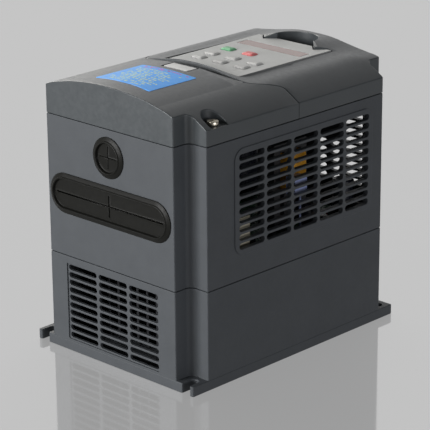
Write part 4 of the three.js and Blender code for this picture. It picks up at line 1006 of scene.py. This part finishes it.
shape = Shape()
holes = [key_loop(KEY_XS[c], KEY_YS[r], 0.3) for c, r in KEYS.values()] + [rounded(*WINDOW, 0.6, 4)]
shape.plate(keypad_loop(0), holes, FACE_LOW, KEY_TOP, 0.2, 0.05)
piece("keypad_face", shape, "keypad_grey", "keypad", "keypad_faceplate")
shape = Shape()
lens = rounded(WINDOW[0] + 0.3, WINDOW[1] - 0.3, WINDOW[2] + 0.3, WINDOW[3] - 0.3, 0.4, 4)
shape.plate(lens, [], LENS_LOW, KEY_TOP - 0.04, 0.12)
piece("display_lens", shape, "window_red", "keypad", "display_window")
skirt = [(0.9, 154.9), (0.9, 155.7), (0, 155.75), (0, KEY_SHOULDER), (-0.1, KEY_SHOULDER + 0.12)]
cap = [(-0.45, KEY_CAP - 0.5), (-0.95, KEY_CAP - 0.24), (-1.3, KEY_CAP - 0.08), (-1.48, KEY_CAP)]
for name, (c, r) in KEYS.items():
    shape = Shape()
    shape.solid(key_loop(KEY_XS[c], KEY_YS[r], 0), skirt + cap)
    piece(name + "_cap", shape, slot_of[name], name, name, sharp=60)

# ---- Fan
ROTOR_LOW, ROTOR_HIGH = (corner.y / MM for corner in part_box("fan_rotor"))
HUB_RADIUS, TIP_RADIUS, BLADES = 11.0, 22.4, 7
SWEEP, SPAN, PITCH = 14, 40, 9.0  # degrees, degrees, millimetres along the axis


def about_fan(u, v, h):
    return (u, h, FAN_Z + v)


shape = Shape(about_fan)
hub = [(10.2, ROTOR_LOW), (HUB_RADIUS, ROTOR_LOW + 0.6), (HUB_RADIUS, ROTOR_HIGH - 1.2),
       (10.7, ROTOR_HIGH - 0.4), (10.0, ROTOR_HIGH), (8.6, ROTOR_HIGH), (8.3, ROTOR_HIGH - 0.35)]
rings = [shape.ring(circle(0, 0, r, 48), y) for r, y in hub]
shape.loft(rings)
shape.fill([rings[0]], xz)
shape.fill([rings[-1]], xz)
CHORD = [i / 8 for i in range(9)]
for blade in range(BLADES):
    sections = []
    for r in spread(HUB_RADIUS - 0.6, TIP_RADIUS, 2.0):
        lead = 360 / BLADES * blade + SWEEP * (r - HUB_RADIUS) / (TIP_RADIUS - HUB_RADIUS)
        section = []
        for side, run in ((1, CHORD), (-1, CHORD[::-1][1:-1])):
            for s in run:
                angle = math.radians(lead + SPAN * (s - 0.5))
                middle = (ROTOR_LOW + ROTOR_HIGH) / 2 + PITCH * (s - 0.5) + 0.9 * math.sin(math.pi * s)
                y = middle + side * (0.12 + 0.55 * math.sin(math.pi * min(s + 0.12, 1)))
                section.append(shape.bm.verts.new((r * math.cos(angle), y, FAN_Z + r * math.sin(angle))))
        sections.append(section)
    shape.loft(sections)
    shape.face(sections[0])
    shape.face(sections[-1])
piece("fan_blades", shape, "black_plastic", "fan_rotor", "fan_rotor", sharp=60)

# ---- Input choke: a ferrite ring wound with enamelled wire
low, high = (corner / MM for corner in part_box("input_choke"))
CHOKE = (low + high) / 2
RING, SECTION, WIRE, TURNS, WOUND = 9.0, 3.7, 0.42, 21, 4.48


def on_ring(angle, around, radius):
    out = RING + radius * math.cos(around)
    return CHOKE + Vector((out * math.cos(angle), out * math.sin(angle), radius * math.sin(around)))


shape = Shape()
rings = [[shape.bm.verts.new(on_ring(math.radians(a), math.radians(b), SECTION)) for b in range(0, 360, 24)]
         for a in range(0, 360, 10)]
shape.loft(rings + rings[:1])
piece("choke_core", shape, slot_of["input_choke"], "chassis", "input_choke", material=materials["ferrite"])
shape = Shape()
for turn_index in range(TURNS):
    middle = math.radians(360 / TURNS * turn_index)
    if abs(math.sin(middle)) < 0.12:
        continue
    loops = []
    for b in range(0, 360, 24):
        around = math.radians(b)
        loop = []
        for c in range(0, 360, 60):
            t = math.radians(c)
            reach = SECTION + 0.02 + WIRE * (1 + math.cos(t))
            shift = WIRE * math.sin(t) / (RING + reach * math.cos(around))
            loop.append(shape.bm.verts.new(on_ring(middle + shift, around, min(reach, WOUND))))
        loops.append(loop)
    shape.loft(loops + loops[:1])
piece("choke_winding", shape, slot_of["input_choke"], "chassis", material=materials["winding_copper"])

# ---- Screws of the power terminals
block_low, block_high = (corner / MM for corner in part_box("power_terminal_block"))
POLES, BARRIER, STEP = 9, 1.6, 0.55
pitch = (block_high.x - block_low.x - BARRIER) / POLES
step_z = block_low.z + (block_high.z - block_low.z) * STEP
shape = Shape()
for pole in range(POLES):
    x = block_low.x + BARRIER / 2 + (pole + 0.5) * pitch
    for y in (block_low.y + 4.2, block_high.y - 4.2):
        levels = [(0, 0.05), (0, 1.5), (-0.25, 1.9), (-0.9, 2.1)]
        head = shape.edge(circle(x, y, 3.0, 24), [(o, step_z + h) for o, h in levels])
        groove = rounded(x - 2.2, x + 2.2, y - 0.35, y + 0.35, 0.1, 1)
        slot = shape.edge(groove, [(0, step_z + 2.1), (0, step_z + 1.2)])
        shape.fill([head[0]])
        shape.fill([head[-1], slot[0]])
        shape.fill([slot[-1]])
piece("terminal_screws", shape, "screw_steel", "chassis")

# ---- Small parts soldered to the boards
rng = random.Random(31)
POWER_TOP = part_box("power_board")[1].z / MM
CONTROL_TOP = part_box("control_board")[1].z / MM


def chip(shape, x, y, z, long, wide, tall, radius=0.25):
    outline = rounded(x - long / 2, x + long / 2, y - wide / 2, y + wide / 2, radius, 2)
    shape.plate(outline, [], z, z + tall, 0.2, steps=2)


def can(shape, x, y, z, radius, tall):
    top = z + tall
    shape.solid(circle(x, y, radius, 20), [(0, z), (0, top - 0.5), (-0.15, top - 0.15), (-0.5, top)])


chips, legs, cans = Shape(), Shape(), Shape()
CHIPS = ((-20, -40, 14, 9), (10, -18, 10, 10), (30, 6, 12, 8), (-34, 20, 9, 14), (22, 44, 13, 7))
LEG_PITCH, LEG_OUT = 1.6, 0.55
for x, y, long, wide in CHIPS:
    chip(chips, x, y, CONTROL_TOP + 0.12, long, wide, 1.8)
    for k in range(int(long / LEG_PITCH)):
        for side in (-1, 1):
            leg_x, leg_y = x - long / 2 + 1.1 + LEG_PITCH * k, y + side * (wide / 2 + LEG_OUT)
            chip(legs, leg_x, leg_y, CONTROL_TOP + 0.02, 0.5, 1.0, 0.5, 0.1)
for y in (-24, -16, -9, 34, 41):
    x = rng.uniform(50, 53)
    can(cans, x, y, POWER_TOP + 0.05, rng.uniform(1.8, 2.9), rng.uniform(7, 15))
for y in (-26, -6, 8, 26, 62, 74):
    chip(chips, rng.uniform(6, 20), y, POWER_TOP + 0.05, 3.2, 4.8, 2.0)
for i in range(9):
    chip(legs, rng.uniform(-14, 26), rng.uniform(-8, 28), POWER_TOP + 0.04, 1.6, 0.9, 0.7, 0.1)
piece("board_chips", chips, "black_plastic", "chassis")
piece("board_contacts", legs, "screw_steel", "chassis")
piece("board_cans", cans, "capacitor_sleeve", "chassis")

for name in nodes:
    if not nodes[name].hide_render:
        refine(name)

# ---- Studio
WHITE = (1, 1, 1, 1)
FLOOR_RADIUS, FLOOR_GREY, FLOOR_GLOW, FLOOR_SHARE, FLOOR_BLUR = 9.0, 0.35, 0.39, 0.27, 0.06
SKY_BRIGHT, SKY_DIM, BACKDROP = 0.80, 0.12, 0.45
SKY_TOWARD = Vector((-0.64, 0.72, 0.02)).normalized()
floor_mesh = bmesh.new()
bmesh.ops.create_circle(floor_mesh, cap_ends=True, radius=FLOOR_RADIUS, segments=96)
mesh = bpy.data.meshes.new("floor")
floor_mesh.to_mesh(mesh)
floor = add_object("floor", mesh)
floor.location.z = -0.0001
f = Nodes("floor")
gloss = f.add("ShaderNodeBsdfGlossy", {"Roughness": FLOOR_BLUR, "Color": WHITE})
mix = f.add("ShaderNodeMixShader", {"Fac": FLOOR_SHARE})
put(f.bsdf, {"Base Color": (FLOOR_GREY, FLOOR_GREY, FLOOR_GREY, 1), "Emission Color": WHITE,
             "Emission Strength": FLOOR_GLOW, "Roughness": 1.0, "Specular IOR Level": 0.0})
f.link(f.bsdf.outputs["BSDF"], mix.inputs[1])
f.link(gloss.outputs["BSDF"], mix.inputs[2])
f.link(mix.outputs["Shader"], f.tree.nodes["Material Output"].inputs["Surface"])
paint(floor, f.material)

# The sky is brightest behind the object, and rays from the camera see a plain backdrop.
world = bpy.data.worlds.new("studio")
scene.world = world
world.use_nodes = True
sky = world.node_tree
direction = sky.nodes.new("ShaderNodeTexCoord")
toward = sky.nodes.new("ShaderNodeVectorMath")
toward.operation = "DOT_PRODUCT"
toward.inputs[1].default_value = SKY_TOWARD
ramp = sky.nodes.new("ShaderNodeMapRange")
ramp.interpolation_type = "SMOOTHSTEP"
put(ramp, {"From Min": 0.2, "From Max": 1.0, "To Min": SKY_DIM, "To Max": SKY_BRIGHT})
rays = sky.nodes.new("ShaderNodeLightPath")
shown = put(sky.nodes.new("ShaderNodeMix"), {"B": BACKDROP})
background = put(sky.nodes["Background"], {"Color": WHITE})
for source, target in ((direction.outputs["Generated"], toward.inputs[0]),
                       (toward.outputs["Value"], ramp.inputs["Value"]),
                       (rays.outputs["Is Camera Ray"], shown.inputs["Factor"]),
                       (ramp.outputs["Result"], shown.inputs["A"]),
                       (shown.outputs["Result"], background.inputs["Strength"])):
    sky.links.new(source, target)


def area_light(name, position, aim_z, size, power, color=(1, 1, 1)):
    """A soft rectangle of light, aimed at a height on the object's axis, that leaves the floor unlit."""
    light = bpy.data.lights.new(name, "AREA")
    light.shape = "RECTANGLE"
    light.size, light.size_y = size
    light.energy, light.color = power, color
    obj = add_object(name, light)
    obj.location = position
    obj.rotation_euler = (Vector((0, 0, aim_z)) - Vector(position)).to_track_quat("-Z", "Y").to_euler()
    obj.light_linking.receiver_collection = unlit


unlit = bpy.data.collections.new("unlit")
unlit.objects.link(floor)
area_light("key", (-0.75, -2.15, 0.5), 0.08, (1.2, 0.9), 79)
area_light("fill", (2.2, -0.2, 0.25), 0.08, (1.5, 0.7), 16.5, (0.95, 0.96, 1.0))
area_light("top", (-1.6, 0.5, 1.0), 0.12, (1.2, 1.0), 19.5, (1.0, 0.975, 0.93))
unlit.collection_objects[0].light_linking.link_state = "EXCLUDE"
